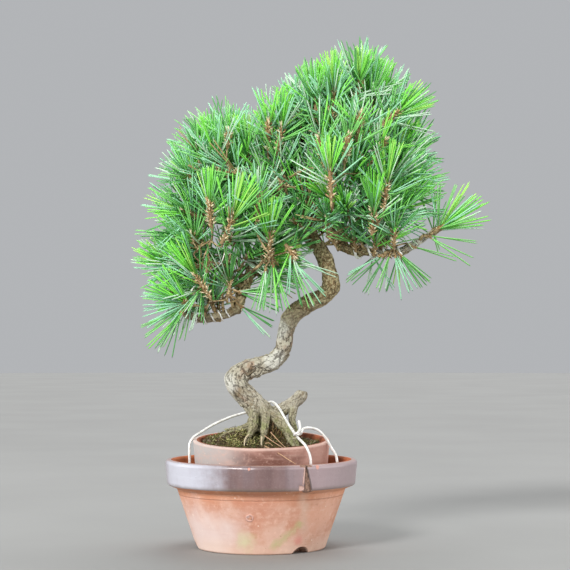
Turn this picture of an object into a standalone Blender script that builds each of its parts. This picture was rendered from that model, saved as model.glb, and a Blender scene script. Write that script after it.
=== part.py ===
"""A black pine bonsai on exposed roots, wired down in a clay training pot that leans in a wider clay pan.

Metres, +Z up. The origin is the centre of the pan's foot on the ground, and the tree's front looks along -Y.
"""

import math

import bmesh
import bpy
from mathutils import Matrix, Vector, noise

# Driving dimensions
GAP = 0.0003
PAN_RIM_RADIUS = 0.0900
PAN_HEIGHT = 0.0820
PAN_FOOT_RADIUS = 0.0600
PAN_FLOOR = 0.0121
POT_RIM_RADIUS = 0.0641
POT_FOOT_RADIUS = 0.0500
POT_HEIGHT = 0.0845
POT_LEAN = math.radians(4.5)
POT_RIM_LEVEL = 0.1005
SOIL_BELOW_RIM = 0.0040
TRUNK_FOOT_LEVEL = 0.1085
TRUNK_FOOT_RADIUS = 0.0125
WIRE_RADIUS = 0.00125
TURNED_SIDES = 32
# Cutters are this much thicker than the limb they keep clear.
TRUNK_CLEARANCE = 1.4 * GAP
LIMB_CLEARANCE = 1.6 * GAP

CLAY = ("clay", (0.74, 0.42, 0.30, 1.0), 0.85, 0.0)
MOSSY_SOIL = ("mossy_soil", (0.20, 0.19, 0.10, 1.0), 0.95, 0.0)
BARK = ("bark", (0.52, 0.44, 0.32, 1.0), 0.9, 0.0)
NEEDLES = ("needles", (0.16, 0.42, 0.14, 1.0), 0.6, 0.0)
ALUMINIUM = ("aluminium_wire", (0.88, 0.88, 0.90, 1.0), 0.35, 1.0)


def material(name, colour, roughness, metallic):
    """The Principled material of this name, made once."""
    made = bpy.data.materials.get(name)
    if made is None:
        made = bpy.data.materials.new(name)
        made.use_nodes = True
        shader = made.node_tree.nodes["Principled BSDF"]
        shader.inputs["Base Color"].default_value = colour
        shader.inputs["Roughness"].default_value = roughness
        shader.inputs["Metallic"].default_value = metallic
    return made


def finished(name, bm, finish, hidden=False):
    """An object from a bmesh, with its normals out; a hidden one is only a cutter."""
    bmesh.ops.recalc_face_normals(bm, faces=bm.faces[:])
    mesh = bpy.data.meshes.new(name)
    bm.to_mesh(mesh)
    bm.free()
    mesh.materials.append(material(*finish))
    mesh.shade_smooth()
    mesh.set_sharp_from_angle(angle=math.radians(40))
    made = bpy.data.objects.new(name, mesh)
    bpy.context.scene.collection.objects.link(made)
    if hidden:
        made.hide_render = True
        made.display_type = "WIRE"
    return made


def cut(piece, cutter):
    """Takes the cutter away from the piece with a live Boolean."""
    modifier = piece.modifiers.new("cut_" + cutter.name, "BOOLEAN")
    modifier.operation = "DIFFERENCE"
    modifier.object = cutter


def turned(profile, sides=TURNED_SIDES):
    """A closed profile of (radius, height) points turned about Z; a radius of zero lies on the axis."""
    bm = bmesh.new()
    rings = []
    for radius, height in profile:
        if radius == 0.0:
            rings.append([bm.verts.new((0.0, 0.0, height))])
            continue
        turn = [2.0 * math.pi * i / sides for i in range(sides)]
        rings.append([bm.verts.new((radius * math.cos(a), radius * math.sin(a), height)) for a in turn])
    for low, high in zip(rings, rings[1:] + rings[:1]):
        if len(low) == 1 and len(high) == 1:
            continue
        for i in range(sides):
            j = (i + 1) % sides
            corners = [low[i % len(low)], low[j % len(low)], high[j % len(high)], high[i % len(high)]]
            bm.faces.new(list(dict.fromkeys(corners)))
    return bm


# Routes and limbs

def smooth_route(points, pieces):
    """Points (x, y, z, radius) on a smooth curve through the given ones, some pieces to each stretch."""
    ends = [points[0]] + list(points) + [points[-1]]
    found = []
    for a, b, c, d in zip(ends, ends[1:], ends[2:], ends[3:]):
        for step in range(pieces):
            t = step / pieces
            found.append(tuple(
                0.5 * (2 * q + (r - p) * t + (2 * p - 5 * q + 4 * r - s) * t * t
                       + (3 * q - p - 3 * r + s) * t ** 3)
                for p, q, r, s in zip(a, b, c, d)
            ))
    return found + [tuple(points[-1])]


def rings_along(route, sides):
    """Rings of points square to the route, which don't twist from one to the next."""
    middles = [Vector(p[:3]) for p in route]
    across = None
    rings = []
    for i, (middle, point) in enumerate(zip(middles, route)):
        ahead = (middles[min(i + 1, len(middles) - 1)] - middles[max(i - 1, 0)]).normalized()
        if across is None:
            across = ahead.orthogonal()
        across = (across - ahead * across.dot(ahead)).normalized()
        up = ahead.cross(across)
        turn = [2.0 * math.pi * k / sides for k in range(sides)]
        rings.append([middle + point[3] * (across * math.cos(a) + up * math.sin(a)) for a in turn])
    return rings


def limb_mesh(route, sides):
    """A tapering limb with flat ends."""
    bm = bmesh.new()
    rings = [[bm.verts.new(p) for p in ring] for ring in rings_along(route, sides)]
    for low, high in zip(rings, rings[1:]):
        for i in range(sides):
            j = (i + 1) % sides
            bm.faces.new([low[i], low[j], high[j], high[i]])
    bm.faces.new(rings[0])
    bm.faces.new(rings[-1])
    return bm


def thicker(route, by):
    return [(x, y, z, radius + by) for x, y, z, radius in route]


def rounded_tip(route):
    """Ends the route in a blunt round tip, as a healed cut has."""
    end, before = Vector(route[-1][:3]), Vector(route[-2][:3])
    ahead, radius = (end - before).normalized(), route[-1][3]
    tip = []
    for angle in (35, 65):
        reach = radius * math.sin(math.radians(angle))
        tip.append((*(end + ahead * reach), radius * math.cos(math.radians(angle))))
    return route + tip


# The pan: a wide clay pan with a painted band for a rim, and three drain notches in its foot

PAN_PROFILE = [
    (PAN_FOOT_RADIUS - 0.0015, 0.0),
    (PAN_FOOT_RADIUS, 0.0015),
    (0.0790, 0.0555),
    (0.0882, 0.0596),
    (PAN_RIM_RADIUS, PAN_HEIGHT - 0.0030),
    (PAN_RIM_RADIUS - 0.0018, PAN_HEIGHT),
    (0.0818, PAN_HEIGHT),
    (0.0800, PAN_HEIGHT - 0.0020),
    (0.0715, 0.0550),
    (0.0571, 0.0215),
    (0.0535, 0.0150),
    (0.0470, PAN_FLOOR),
    (0.0, PAN_FLOOR),
    (0.0, 0.0),
]
NOTCH_RADIUS = 0.0105
NOTCH_SINK = 0.0040
NOTCH_CUT = 0.024
FIRST_NOTCH = math.radians(37.4 - 90.0)
NOTCHES = 3


def outer_pan():
    pan = finished("outer_pan", turned(PAN_PROFILE), CLAY)
    for n in range(NOTCHES):
        bm = bmesh.new()
        bmesh.ops.create_cone(
            bm, cap_ends=True, segments=20, radius1=NOTCH_RADIUS, radius2=NOTCH_RADIUS, depth=NOTCH_CUT)
        turn = Matrix.Rotation(FIRST_NOTCH + n * 2.0 * math.pi / NOTCHES, 4, "Z")
        middle = Vector((PAN_FOOT_RADIUS - 0.002, 0.0, -NOTCH_SINK))
        place = Matrix.Translation(middle) @ Matrix.Rotation(math.pi / 2, 4, "Y")
        bmesh.ops.transform(bm, matrix=turn @ place, verts=bm.verts[:])
        cut(pan, finished(f"notch_cutter_{n}", bm, CLAY, hidden=True))


# The training pot: a plain pot with a tall band. It leans forward, with its foot on the pan's floor

POT_PROFILE = [
    (POT_FOOT_RADIUS - 0.0010, 0.0),
    (POT_FOOT_RADIUS, 0.0010),
    (0.0588, 0.0560),
    (0.0622, 0.0590),
    (POT_RIM_RADIUS, POT_HEIGHT - 0.0010),
    (POT_RIM_RADIUS - 0.0008, POT_HEIGHT),
    (0.0580, POT_HEIGHT),
    (0.0572, POT_HEIGHT - 0.0010),
    (0.0445, 0.0080),
    (0.0090, 0.0080),
    (0.0090, 0.0),
]
POT_FOOT_LEVEL = POT_RIM_LEVEL - POT_HEIGHT * math.cos(POT_LEAN)
POT_PLACE = (
    Matrix.Translation((0.0, POT_HEIGHT * math.sin(POT_LEAN), POT_FOOT_LEVEL))
    @ Matrix.Rotation(POT_LEAN, 4, "X")
)


def training_pot():
    finished("training_pot", turned(POT_PROFILE), CLAY).matrix_world = POT_PLACE


# The root ball: gritty soil with one mound on the left of the trunk and one under the arch of the roots

# Each mound has its middle, its height and its spread.
MOUNDS = [((-0.0190, 0.0030), 0.0128, 0.0185), ((0.0125, -0.0040), 0.0150, 0.0120)]
SOIL_RADIUS = 0.0562
SOIL_RINGS = (1.0, 0.85, 0.7, 0.55, 0.4, 0.25, 0.12)
SOIL_FLOOR = 0.0083


def soil_level(x, y):
    """The soil's surface in the pot's own frame."""
    rises = [
        height * math.exp(-((x - middle[0]) ** 2 + (y - middle[1]) ** 2) / (2.0 * spread ** 2))
        for middle, height, spread in MOUNDS
    ]
    lumps = 0.0010 * noise.noise(Vector((x * 90.0, y * 90.0, 1.7)))
    return POT_HEIGHT - SOIL_BELOW_RIM + max(rises) + lumps


def root_ball(trunk_foot):
    top = [(SOIL_RADIUS * share, POT_HEIGHT) for share in SOIL_RINGS] + [(0.0, POT_HEIGHT)]
    profile = [(0.0, SOIL_FLOOR), (0.0441, SOIL_FLOOR), (0.0557, POT_HEIGHT - 0.0075)] + top
    bm = turned(profile)
    for vert in bm.verts:
        if vert.co.z > POT_HEIGHT - 0.001:
            vert.co.z = soil_level(vert.co.x, vert.co.y)
    soil = finished("root_ball", bm, MOSSY_SOIL)
    soil.matrix_world = POT_PLACE
    cut(soil, trunk_foot)


# The trunk: one sinuous stem from a flat cut on the root ball to its tip in the crown

TRUNK_ROUTE = [
    (0.0040, 0.0005, TRUNK_FOOT_LEVEL, TRUNK_FOOT_RADIUS),
    (0.0030, 0.0000, 0.1210, 0.0116),
    (-0.0080, -0.0010, 0.1345, 0.0104),
    (-0.0185, -0.0020, 0.1455, 0.0100),
    (-0.0238, -0.0010, 0.1550, 0.0104),
    (-0.0180, 0.0008, 0.1625, 0.0098),
    (-0.0060, 0.0026, 0.1682, 0.0088),
    (0.0075, 0.0042, 0.1716, 0.0081),
    (0.0178, 0.0048, 0.1800, 0.0077),
    (0.0217, 0.0040, 0.1907, 0.0073),
    (0.0236, 0.0030, 0.2040, 0.0075),
    (0.0300, 0.0018, 0.2178, 0.0085),
    (0.0435, 0.0002, 0.2272, 0.0081),
    (0.0575, -0.0010, 0.2343, 0.0080),
    (0.0650, -0.0008, 0.2430, 0.0080),
    (0.0647, 0.0000, 0.2552, 0.0077),
    (0.0575, 0.0022, 0.2745, 0.0074),
    (0.0465, 0.0060, 0.2925, 0.0070),
    (0.0430, 0.0080, 0.3118, 0.0064),
    (0.0506, 0.0080, 0.3335, 0.0056),
    (0.0628, 0.0060, 0.3588, 0.0048),
    (0.0722, 0.0040, 0.3841, 0.0040),
    (0.0775, 0.0020, 0.4080, 0.0032),
]
TRUNK_SIDES = 9


def trunk():
    """The trunk, and the slightly thicker cutter that keeps its neighbours clear of it."""
    route = smooth_route(TRUNK_ROUTE, 2)
    finished("trunk", limb_mesh(rounded_tip(route), TRUNK_SIDES), BARK)
    foot_x, foot_y = TRUNK_ROUTE[0][:2]
    below = (foot_x, foot_y, TRUNK_FOOT_LEVEL - GAP, TRUNK_FOOT_RADIUS)
    clear = thicker([below] + rounded_tip(route)[1:], TRUNK_CLEARANCE)
    return finished("trunk_clearance", limb_mesh(clear, TRUNK_SIDES), BARK, hidden=True)


# The exposed roots: each leaves the root crown and ends on the soil

ROOT_ROUTES = {
    "root_front_left": [
        (-0.0040, -0.0040, 0.1330, 0.0054), (-0.0068, -0.0130, 0.1245, 0.0048),
        (-0.0068, -0.0165, 0.1150, 0.0042), (-0.0105, -0.0205, 0.1060, 0.0026),
        (-0.0150, -0.0250, 0.0950, 0.0018),
    ],
    "root_front": [
        (0.0030, -0.0060, 0.1280, 0.0038), (0.0040, -0.0155, 0.1205, 0.0038),
        (0.0030, -0.0195, 0.1100, 0.0032), (0.0012, -0.0225, 0.1010, 0.0021),
        (0.0006, -0.0240, 0.0900, 0.0017),
    ],
    "root_right": [
        (0.0080, -0.0042, 0.1240, 0.0051), (0.0170, -0.0094, 0.1185, 0.0051),
        (0.0236, -0.0150, 0.1108, 0.0045), (0.0290, -0.0200, 0.1020, 0.0038),
        (0.0330, -0.0240, 0.0920, 0.0032),
    ],
    "root_left": [
        (-0.0020, 0.0010, 0.1172, 0.0042), (-0.0130, 0.0000, 0.1160, 0.0038),
        (-0.0260, -0.0010, 0.1128, 0.0033), (-0.0390, -0.0020, 0.1070, 0.0027),
        (-0.0480, -0.0030, 0.0980, 0.0022),
    ],
    "root_back_left": [
        (-0.0040, 0.0050, 0.1240, 0.0046), (-0.0090, 0.0140, 0.1170, 0.0042),
        (-0.0120, 0.0220, 0.1080, 0.0033), (-0.0150, 0.0300, 0.0960, 0.0024),
    ],
    "root_back_right": [
        (0.0020, 0.0095, 0.1205, 0.0042), (0.0090, 0.0195, 0.1150, 0.0040),
        (0.0180, 0.0265, 0.1070, 0.0032), (0.0240, 0.0330, 0.0960, 0.0024),
    ],
}
STUB_ROUTE = [
    (0.0085, 0.0055, 0.1240, 0.0058), (0.0180, 0.0068, 0.1275, 0.0062), (0.0270, 0.0070, 0.1325, 0.0060),
    (0.0345, 0.0070, 0.1378, 0.0056), (0.0385, 0.0070, 0.1430, 0.0048),
]
STUB_LEG_ROUTE = [
    (0.0310, 0.0050, 0.1330, 0.0032), (0.0295, 0.0035, 0.1250, 0.0031), (0.0288, 0.0010, 0.1160, 0.0029),
    (0.0320, -0.0020, 0.1060, 0.0026), (0.0340, -0.0040, 0.0920, 0.0022),
]
ROOT_SIDES = 8


def above_soil(points, spare=GAP):
    """Whether every point is clear of the soil's surface."""
    into_pot = POT_PLACE.inverted()
    local = [into_pot @ p for p in points]
    return all(p.z > soil_level(p.x, p.y) + 0.0006 + spare for p in local)


def down_to_soil(route, sides):
    """The part of the route before the first ring that would touch the soil."""
    kept = []
    for point, ring in zip(route, rings_along(route, sides)):
        if kept and not above_soil(ring):
            break
        kept.append(point)
    return kept


def roots(trunk_clearance):
    stub_route = smooth_route(STUB_ROUTE, 2)
    stub = finished("root_stub", limb_mesh(rounded_tip(stub_route), 10), BARK)
    cut(stub, trunk_clearance)
    stub_clear = limb_mesh(thicker(rounded_tip(stub_route), LIMB_CLEARANCE), 10)
    stub_clearance = finished("stub_clearance", stub_clear, BARK, hidden=True)
    for name, points in {**ROOT_ROUTES, "root_stub_leg": STUB_LEG_ROUTE}.items():
        route = down_to_soil(smooth_route(points, 6), ROOT_SIDES)
        thinned = route[::3] + ([route[-1]] if (len(route) - 1) % 3 else [])
        root = finished(name, limb_mesh(thinned, ROOT_SIDES), BARK)
        cut(root, stub_clearance if name == "root_stub_leg" else trunk_clearance)


# The foliage masses: uneven clouds of needles, which meet their neighbours on flat faces

# Each mass has its middle and its half sizes along X, Y and Z.
MASSES = {
    "foliage_apex_left": ((0.0595, -0.012, 0.4306), (0.0358, 0.0339, 0.0386)),
    "foliage_apex_right": ((0.0979, 0.008, 0.4395), (0.0358, 0.0339, 0.0376)),
    "foliage_right_shoulder": ((0.1291, -0.005, 0.4036), (0.0311, 0.0301, 0.0311)),
    "foliage_right_middle": ((0.1383, 0.005, 0.3672), (0.0358, 0.0339, 0.0329)),
    "foliage_centre_high": ((0.0817, -0.042, 0.3763), (0.0376, 0.0320, 0.0376)),
    "foliage_centre_front": ((0.0686, -0.050, 0.3316), (0.0358, 0.0320, 0.0339)),
    "foliage_right_low": ((0.1178, -0.020, 0.3216), (0.0358, 0.0358, 0.0339)),
    "foliage_right_tip": ((0.1764, -0.010, 0.3038), (0.0367, 0.0320, 0.0358)),
    "foliage_right_under": ((0.1232, -0.010, 0.2608), (0.0414, 0.0320, 0.0188)),
    "foliage_left_top": ((-0.0368, -0.008, 0.3807), (0.0452, 0.0395, 0.0405)),
    "foliage_middle_top": ((0.0099, 0.008, 0.3912), (0.0376, 0.0358, 0.0395)),
    "foliage_centre": ((0.0222, 0.000, 0.3384), (0.0339, 0.0320, 0.0339)),
    "foliage_left_upper": ((-0.0706, -0.005, 0.3285), (0.0367, 0.0358, 0.0358)),
    "foliage_left_front": ((-0.0225, -0.045, 0.3157), (0.0395, 0.0320, 0.0376)),
    "foliage_left_low": ((-0.0862, -0.010, 0.2776), (0.0376, 0.0358, 0.0358)),
    "foliage_left_bottom": ((-0.0831, -0.015, 0.2279), (0.0386, 0.0339, 0.0358)),
    "foliage_low_middle": ((-0.0373, 0.005, 0.2539), (0.0301, 0.0320, 0.0311)),
    "foliage_low_centre": ((0.0139, -0.025, 0.2804), (0.0405, 0.0358, 0.0414)),
    "foliage_back_high": ((0.0710, 0.055, 0.4033), (0.0414, 0.0339, 0.0414)),
    "foliage_back_left": ((-0.0332, 0.048, 0.3441), (0.0471, 0.0358, 0.0414)),
    "foliage_back_right": ((0.1196, 0.052, 0.3640), (0.0395, 0.0339, 0.0414)),
    "foliage_back_low": ((0.0222, 0.045, 0.3080), (0.0395, 0.0339, 0.0339)),
}
UNEVEN = 0.16
LUMP_SCALE = 1.6
MASS_SIDES = 12
MASS_LEVELS = 7


def surface_share(direction, name):
    """How far the mass reaches in a direction, as a share of its half sizes."""
    seed = 7.3 * sorted(MASSES).index(name)
    lumps = noise.noise(direction * LUMP_SCALE + Vector((seed, 0.5 * seed, 0.2)))
    return 1.0 + UNEVEN * lumps


def reach(name, direction):
    """The distance from the mass's middle to its surface along a unit direction."""
    half = Vector(MASSES[name][1])
    plain = 1.0 / math.sqrt(sum((d / h) ** 2 for d, h in zip(direction, half)))
    on_unit_ball = Vector([d * plain / h for d, h in zip(direction, half)])
    return plain * surface_share(on_unit_ball.normalized(), name)


def boxes_meet(a, b):
    (first, first_half), (second, second_half) = MASSES[a], MASSES[b]
    grown = 1.0 + UNEVEN
    return all(abs(p - q) < grown * (r + s) for p, q, r, s in zip(first, second, first_half, second_half))


def foliage_mass(name, clearances):
    middle, half = Vector(MASSES[name][0]), Vector(MASSES[name][1])
    bm = bmesh.new()
    bmesh.ops.create_uvsphere(bm, u_segments=MASS_SIDES, v_segments=MASS_LEVELS, radius=1.0)
    for vert in bm.verts:
        share = surface_share(vert.co.normalized(), name)
        vert.co = middle + Vector([c * h * share for c, h in zip(vert.co, half)])
    for other in MASSES:
        if other == name or not boxes_meet(name, other):
            continue
        apart = Vector(MASSES[other][0]) - middle
        way = apart.normalized()
        mine, theirs = reach(name, way), reach(other, -way)
        face = middle + way * (0.5 * (apart.length + mine - theirs) - 0.5 * GAP)
        everything = bm.verts[:] + bm.edges[:] + bm.faces[:]
        made = bmesh.ops.bisect_plane(bm, geom=everything, plane_co=face, plane_no=way, clear_outer=True)
        rim = [e for e in made["geom_cut"] if isinstance(e, bmesh.types.BMEdge)]
        if rim:
            bmesh.ops.edgeloop_fill(bm, edges=rim)
    mass = finished(name, bm, NEEDLES)
    for clearance in clearances:
        cut(mass, clearance)


# The boughs that show: they run on inside the masses, which are cut clear of them

BOUGH_ROUTES = {
    "bough_right_low": [
        (0.0430, 0.0080, 0.3136, 0.0052), (0.0608, 0.0020, 0.3028, 0.0050),
        (0.0710, -0.0040, 0.2864, 0.0046), (0.0830, -0.0080, 0.2777, 0.0042),
        (0.1071, -0.0120, 0.2756, 0.0038), (0.1295, -0.0120, 0.2756, 0.0038),
        (0.1540, -0.0100, 0.2897, 0.0034), (0.1764, -0.0100, 0.3038, 0.0030),
    ],
    "bough_left_low": [
        (0.0450, 0.0070, 0.2960, 0.0048), (0.0250, 0.0000, 0.2860, 0.0046), (0.0082, -0.0080, 0.2715, 0.0043),
        (-0.0060, -0.0100, 0.2640, 0.0040),
    ],
    "bough_left_drop": [
        (-0.0100, -0.0100, 0.2610, 0.0039), (-0.0112, -0.0100, 0.2514, 0.0038),
        (-0.0171, -0.0080, 0.2356, 0.0038), (-0.0222, -0.0060, 0.2250, 0.0040),
    ],
    "bough_left_bottom": [
        (-0.0232, -0.0060, 0.2195, 0.0042), (-0.0320, -0.0060, 0.2180, 0.0040),
        (-0.0424, -0.0080, 0.2156, 0.0038), (-0.0567, -0.0100, 0.2133, 0.0036),
        (-0.0708, -0.0130, 0.2186, 0.0033), (-0.0790, -0.0140, 0.2279, 0.0030),
    ],
}
BOUGH_SIDES = 8


def boughs(trunk_clearance):
    """The boughs, and the cutters that keep the masses clear of them."""
    clearances = []
    for name, points in BOUGH_ROUTES.items():
        route = smooth_route(points, 3)
        bough = finished(name, limb_mesh(route, BOUGH_SIDES), BARK)
        cut(bough, trunk_clearance)
        clear = limb_mesh(thicker(route, LIMB_CLEARANCE), BOUGH_SIDES)
        clearances.append(finished(name + "_clearance", clear, BARK, hidden=True))
    return clearances


# The tie wires: soft aluminium wire that holds the tree down in its pot

LONG_WIRE = [
    (-0.0668, -0.0040, 0.0720), (-0.0672, -0.0040, 0.0880), (-0.0668, -0.0030, 0.0968),
    (-0.0635, -0.0005, 0.1024), (-0.0560, 0.0045, 0.1072), (-0.0456, 0.0090, 0.1135),
    (-0.0296, 0.0125, 0.1205), (-0.0145, 0.0145, 0.1250), (0.0000, 0.0145, 0.1300),
    (0.0080, 0.0080, 0.1350), (0.0125, 0.0000, 0.1338), (0.0178, -0.0080, 0.1280),
    (0.0225, -0.0150, 0.1200), (0.0285, -0.0260, 0.1110), (0.0341, -0.0380, 0.1040),
    (0.0395, -0.0490, 0.0990), (0.0425, -0.0530, 0.0945), (0.0450, -0.0540, 0.0870),
    (0.0462, -0.0535, 0.0720),
]
SHORT_WIRE = [
    (0.0342, -0.0300, 0.1187), (0.0372, -0.0310, 0.1130), (0.0392, -0.0290, 0.1110),
    (0.0453, -0.0260, 0.1124), (0.0528, -0.0240, 0.1101), (0.0593, -0.0220, 0.1035),
    (0.0649, -0.0200, 0.0941), (0.0696, -0.0200, 0.0857), (0.0712, -0.0200, 0.0720),
]
WIRE_SIDES = 5


def tie_wires():
    for name, points in {"tie_wire_long": LONG_WIRE, "tie_wire_short": SHORT_WIRE}.items():
        route = smooth_route([(*p, WIRE_RADIUS) for p in points], 2)
        finished(name, limb_mesh(route, WIRE_SIDES), ALUMINIUM)


for old in list(bpy.data.objects):
    bpy.data.objects.remove(old, do_unlink=True)

outer_pan()
training_pot()
clear_of_trunk = trunk()
root_ball(clear_of_trunk)
roots(clear_of_trunk)
clear_of_boughs = boughs(clear_of_trunk)
for mass_name in MASSES:
    foliage_mass(mass_name, [clear_of_trunk] + clear_of_boughs)
tie_wires()
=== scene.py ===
"""Looks of a black pine bonsai, wired down in a clay pot that leans in a wider clay pan."""

import math
import random

import bmesh
import bpy
import numpy as np
from mathutils import Matrix, Vector, noise
from mathutils.kdtree import KDTree


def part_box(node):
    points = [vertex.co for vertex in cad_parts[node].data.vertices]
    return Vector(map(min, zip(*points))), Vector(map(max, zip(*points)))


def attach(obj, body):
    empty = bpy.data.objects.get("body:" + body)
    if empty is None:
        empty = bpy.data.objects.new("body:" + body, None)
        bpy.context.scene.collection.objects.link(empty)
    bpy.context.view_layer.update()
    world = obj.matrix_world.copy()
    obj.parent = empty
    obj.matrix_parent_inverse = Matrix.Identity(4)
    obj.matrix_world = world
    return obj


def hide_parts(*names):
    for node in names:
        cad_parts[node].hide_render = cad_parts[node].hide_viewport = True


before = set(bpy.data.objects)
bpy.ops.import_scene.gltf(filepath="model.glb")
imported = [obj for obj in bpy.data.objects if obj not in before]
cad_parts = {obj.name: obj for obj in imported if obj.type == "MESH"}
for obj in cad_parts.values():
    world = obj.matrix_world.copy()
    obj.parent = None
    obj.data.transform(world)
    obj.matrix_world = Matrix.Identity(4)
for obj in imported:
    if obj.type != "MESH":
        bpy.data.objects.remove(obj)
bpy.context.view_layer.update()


# The studio: the camera stands level with the pots and looks slightly up at the crown.
# Soft light falls from the upper left and from above. Two pale panels shine on the rim from the sides.
CAMERA_PLACE = Vector((0.0222, -1.5, 0.19))
CAMERA_AIM = Vector((0.0222, 0.0, 0.2452))
CAMERA_LENS = 100.67

camera = bpy.data.objects.new("camera", bpy.data.cameras.new("camera"))
camera.location = CAMERA_PLACE
camera.rotation_euler = (CAMERA_AIM - CAMERA_PLACE).to_track_quat("-Z", "Y").to_euler()
camera.data.lens = CAMERA_LENS
camera.data.sensor_width = 36.0
camera.data.clip_start = 0.01
bpy.context.scene.collection.objects.link(camera)
bpy.context.scene.camera = camera


def hang(name, lamp, place):
    hung = bpy.data.objects.new(name, lamp)
    hung.location = place
    hung.rotation_euler = (CAMERA_AIM - Vector(place)).to_track_quat("-Z", "Y").to_euler()
    bpy.context.scene.collection.objects.link(hung)


for name, place, softness, strength in (
    ("key_light", (-0.7, -1.25, 1.1), 14.0, 3.0), ("top_light", (0.2, 0.4, 1.4), 40.0, 2.0),
    ("fill_light", (1.25, -0.9, 0.45), 50.0, 1.1),
):
    lamp = bpy.data.lights.new(name, "SUN")
    lamp.angle = math.radians(softness)
    lamp.energy = strength
    hang(name, lamp, place)
for name, place, size, power in (
    ("left_panel", (-1.2, 0.12, 0.24), 1.0, 7.0), ("right_panel", (1.2, 0.1, 0.24), 0.8, 3.5),
):
    lamp = bpy.data.lights.new(name, "AREA")
    lamp.size = size
    lamp.energy = power
    hang(name, lamp, place)

world = bpy.data.worlds.new("studio")
world.use_nodes = True
world.node_tree.nodes["Background"].inputs["Color"].default_value = (0.8, 0.82, 0.85, 1.0)
world.node_tree.nodes["Background"].inputs["Strength"].default_value = 0.56
bpy.context.scene.world = world
bpy.context.scene.view_settings.view_transform = "Standard"


def srgb(red, green, blue):
    """A colour as the eye reads it, 0 to 255, made linear."""
    shares = [c / 255.0 for c in (red, green, blue)]
    return tuple(c / 12.92 if c <= 0.04045 else ((c + 0.055) / 1.055) ** 2.4 for c in shares) + (1.0,)


class Tone:
    """A value on its way to a shader. Arithmetic on it adds Math nodes."""

    def __init__(self, finish, socket):
        self.finish = finish
        self.socket = socket

    def math(self, operation, *values):
        return self.finish.node("Math", dict(enumerate(values)), operation=operation)

    def __add__(self, other):
        return self.math("ADD", self, other)

    __radd__ = __add__

    def __sub__(self, other):
        return self.math("SUBTRACT", self, other)

    def __rsub__(self, other):
        return self.math("SUBTRACT", other, self)

    def __mul__(self, other):
        return self.math("MULTIPLY", self, other)

    __rmul__ = __mul__

    def __truediv__(self, other):
        return self.math("DIVIDE", self, other)

    def __pow__(self, other):
        return self.math("POWER", self, other)

    def most(self, other):
        return self.math("MAXIMUM", self, other)

    def least(self, other):
        return self.math("MINIMUM", self, other)

    def rise(self, low, high):
        """0 below low, 1 above high, and smooth between them."""
        ends = {"Value": self, "From Min": low, "From Max": high}
        return self.finish.node("MapRange", ends, interpolation_type="SMOOTHSTEP")


class Finish:
    """A material, with the constants of its shader and the nodes that vary it."""

    def __init__(self, name, **constants):
        self.material = bpy.data.materials.new(name)
        self.material.use_nodes = True
        self.tree = self.material.node_tree
        self.shader = self.tree.nodes["Principled BSDF"]
        for socket, value in constants.items():
            self.shader.inputs[socket.replace("_", " ")].default_value = value

    def node(self, kind, values, output=0, **settings):
        made = self.tree.nodes.new("ShaderNode" + kind)
        for setting, value in settings.items():
            setattr(made, setting, value)
        for socket, value in values.items():
            if isinstance(value, Tone):
                self.tree.links.new(value.socket, made.inputs[socket])
            else:
                made.inputs[socket].default_value = value
        return Tone(self, made.outputs[output])

    def place(self, stretch=(1.0, 1.0, 1.0), shift=(0.0, 0.0, 0.0)):
        """Object coordinates in metres, stretched and shifted."""
        plain = self.node("TexCoord", {}, output="Object")
        return self.node("Mapping", {"Vector": plain, "Scale": stretch, "Location": shift})

    def height(self):
        return self.node("SeparateXYZ", {0: self.place()}, output="Z")

    def grain(self, scale, detail=4.0, roughness=0.55, stretch=(1.0, 1.0, 1.0), shift=(0.0, 0.0, 0.0)):
        """Cloudy noise about 0.5, with scale lumps to a metre."""
        values = {"Vector": self.place(stretch, shift), "Scale": scale, "Detail": detail,
                  "Roughness": roughness}
        return self.node("TexNoise", values)

    def specks(self, scale, shift=(0.0, 0.0, 0.0)):
        """The distance to the nearest of many scattered points, 0 at each."""
        return self.node("TexVoronoi", {"Vector": self.place(shift=shift), "Scale": scale})

    def off(self, point):
        """The distance from a point, in metres."""
        ends = {0: self.place(), 1: point}
        return self.node("VectorMath", ends, output="Value", operation="DISTANCE")

    def off_line(self, start, end):
        """The distance from the stretch between two points, in metres."""
        start, end = Vector(start), Vector(end)
        along = end - start
        from_start = self.node("VectorMath", {0: self.place(), 1: start}, operation="SUBTRACT")
        shadow = {0: from_start, 1: along / along.length_squared}
        share = self.node("VectorMath", shadow, output="Value", operation="DOT_PRODUCT").most(0.0).least(1.0)
        foot = self.node("VectorMath", {0: tuple(along), "Scale": share}, operation="SCALE")
        return self.node("VectorMath", {0: from_start, 1: foot}, output="Value", operation="DISTANCE")

    def mix(self, share, first, second):
        """The first colour where share is 0 and the second where it is 1."""
        return self.node("Mix", {0: share, 6: first, 7: second}, output=2, data_type="RGBA")

    def held(self, name):
        """A value that the mesh holds at each of its points."""
        return self.node("Attribute", {}, output="Fac", attribute_name=name)

    def feed(self, socket, tone):
        self.tree.links.new(tone.socket, self.shader.inputs[socket])

    def relief(self, height, distance):
        """Bumps of this height, in metres where height is 1."""
        self.feed("Normal", self.node("Bump", {"Height": height, "Distance": distance}, output="Normal"))


floor_finish = Finish("studio_floor", Roughness=0.7)
floor_finish.feed("Base Color", floor_finish.mix(
    floor_finish.grain(3.0).rise(0.3, 0.7), srgb(136, 136, 134), srgb(141, 141, 139)))
bm = bmesh.new()
bmesh.ops.create_circle(bm, cap_ends=True, segments=96, radius=9.0)
floor_mesh = bpy.data.meshes.new("studio_floor")
bm.to_mesh(floor_mesh)
bm.free()
floor_mesh.materials.append(floor_finish.material)
studio_floor = bpy.data.objects.new("studio_floor", floor_mesh)
bpy.context.scene.collection.objects.link(studio_floor)


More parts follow.
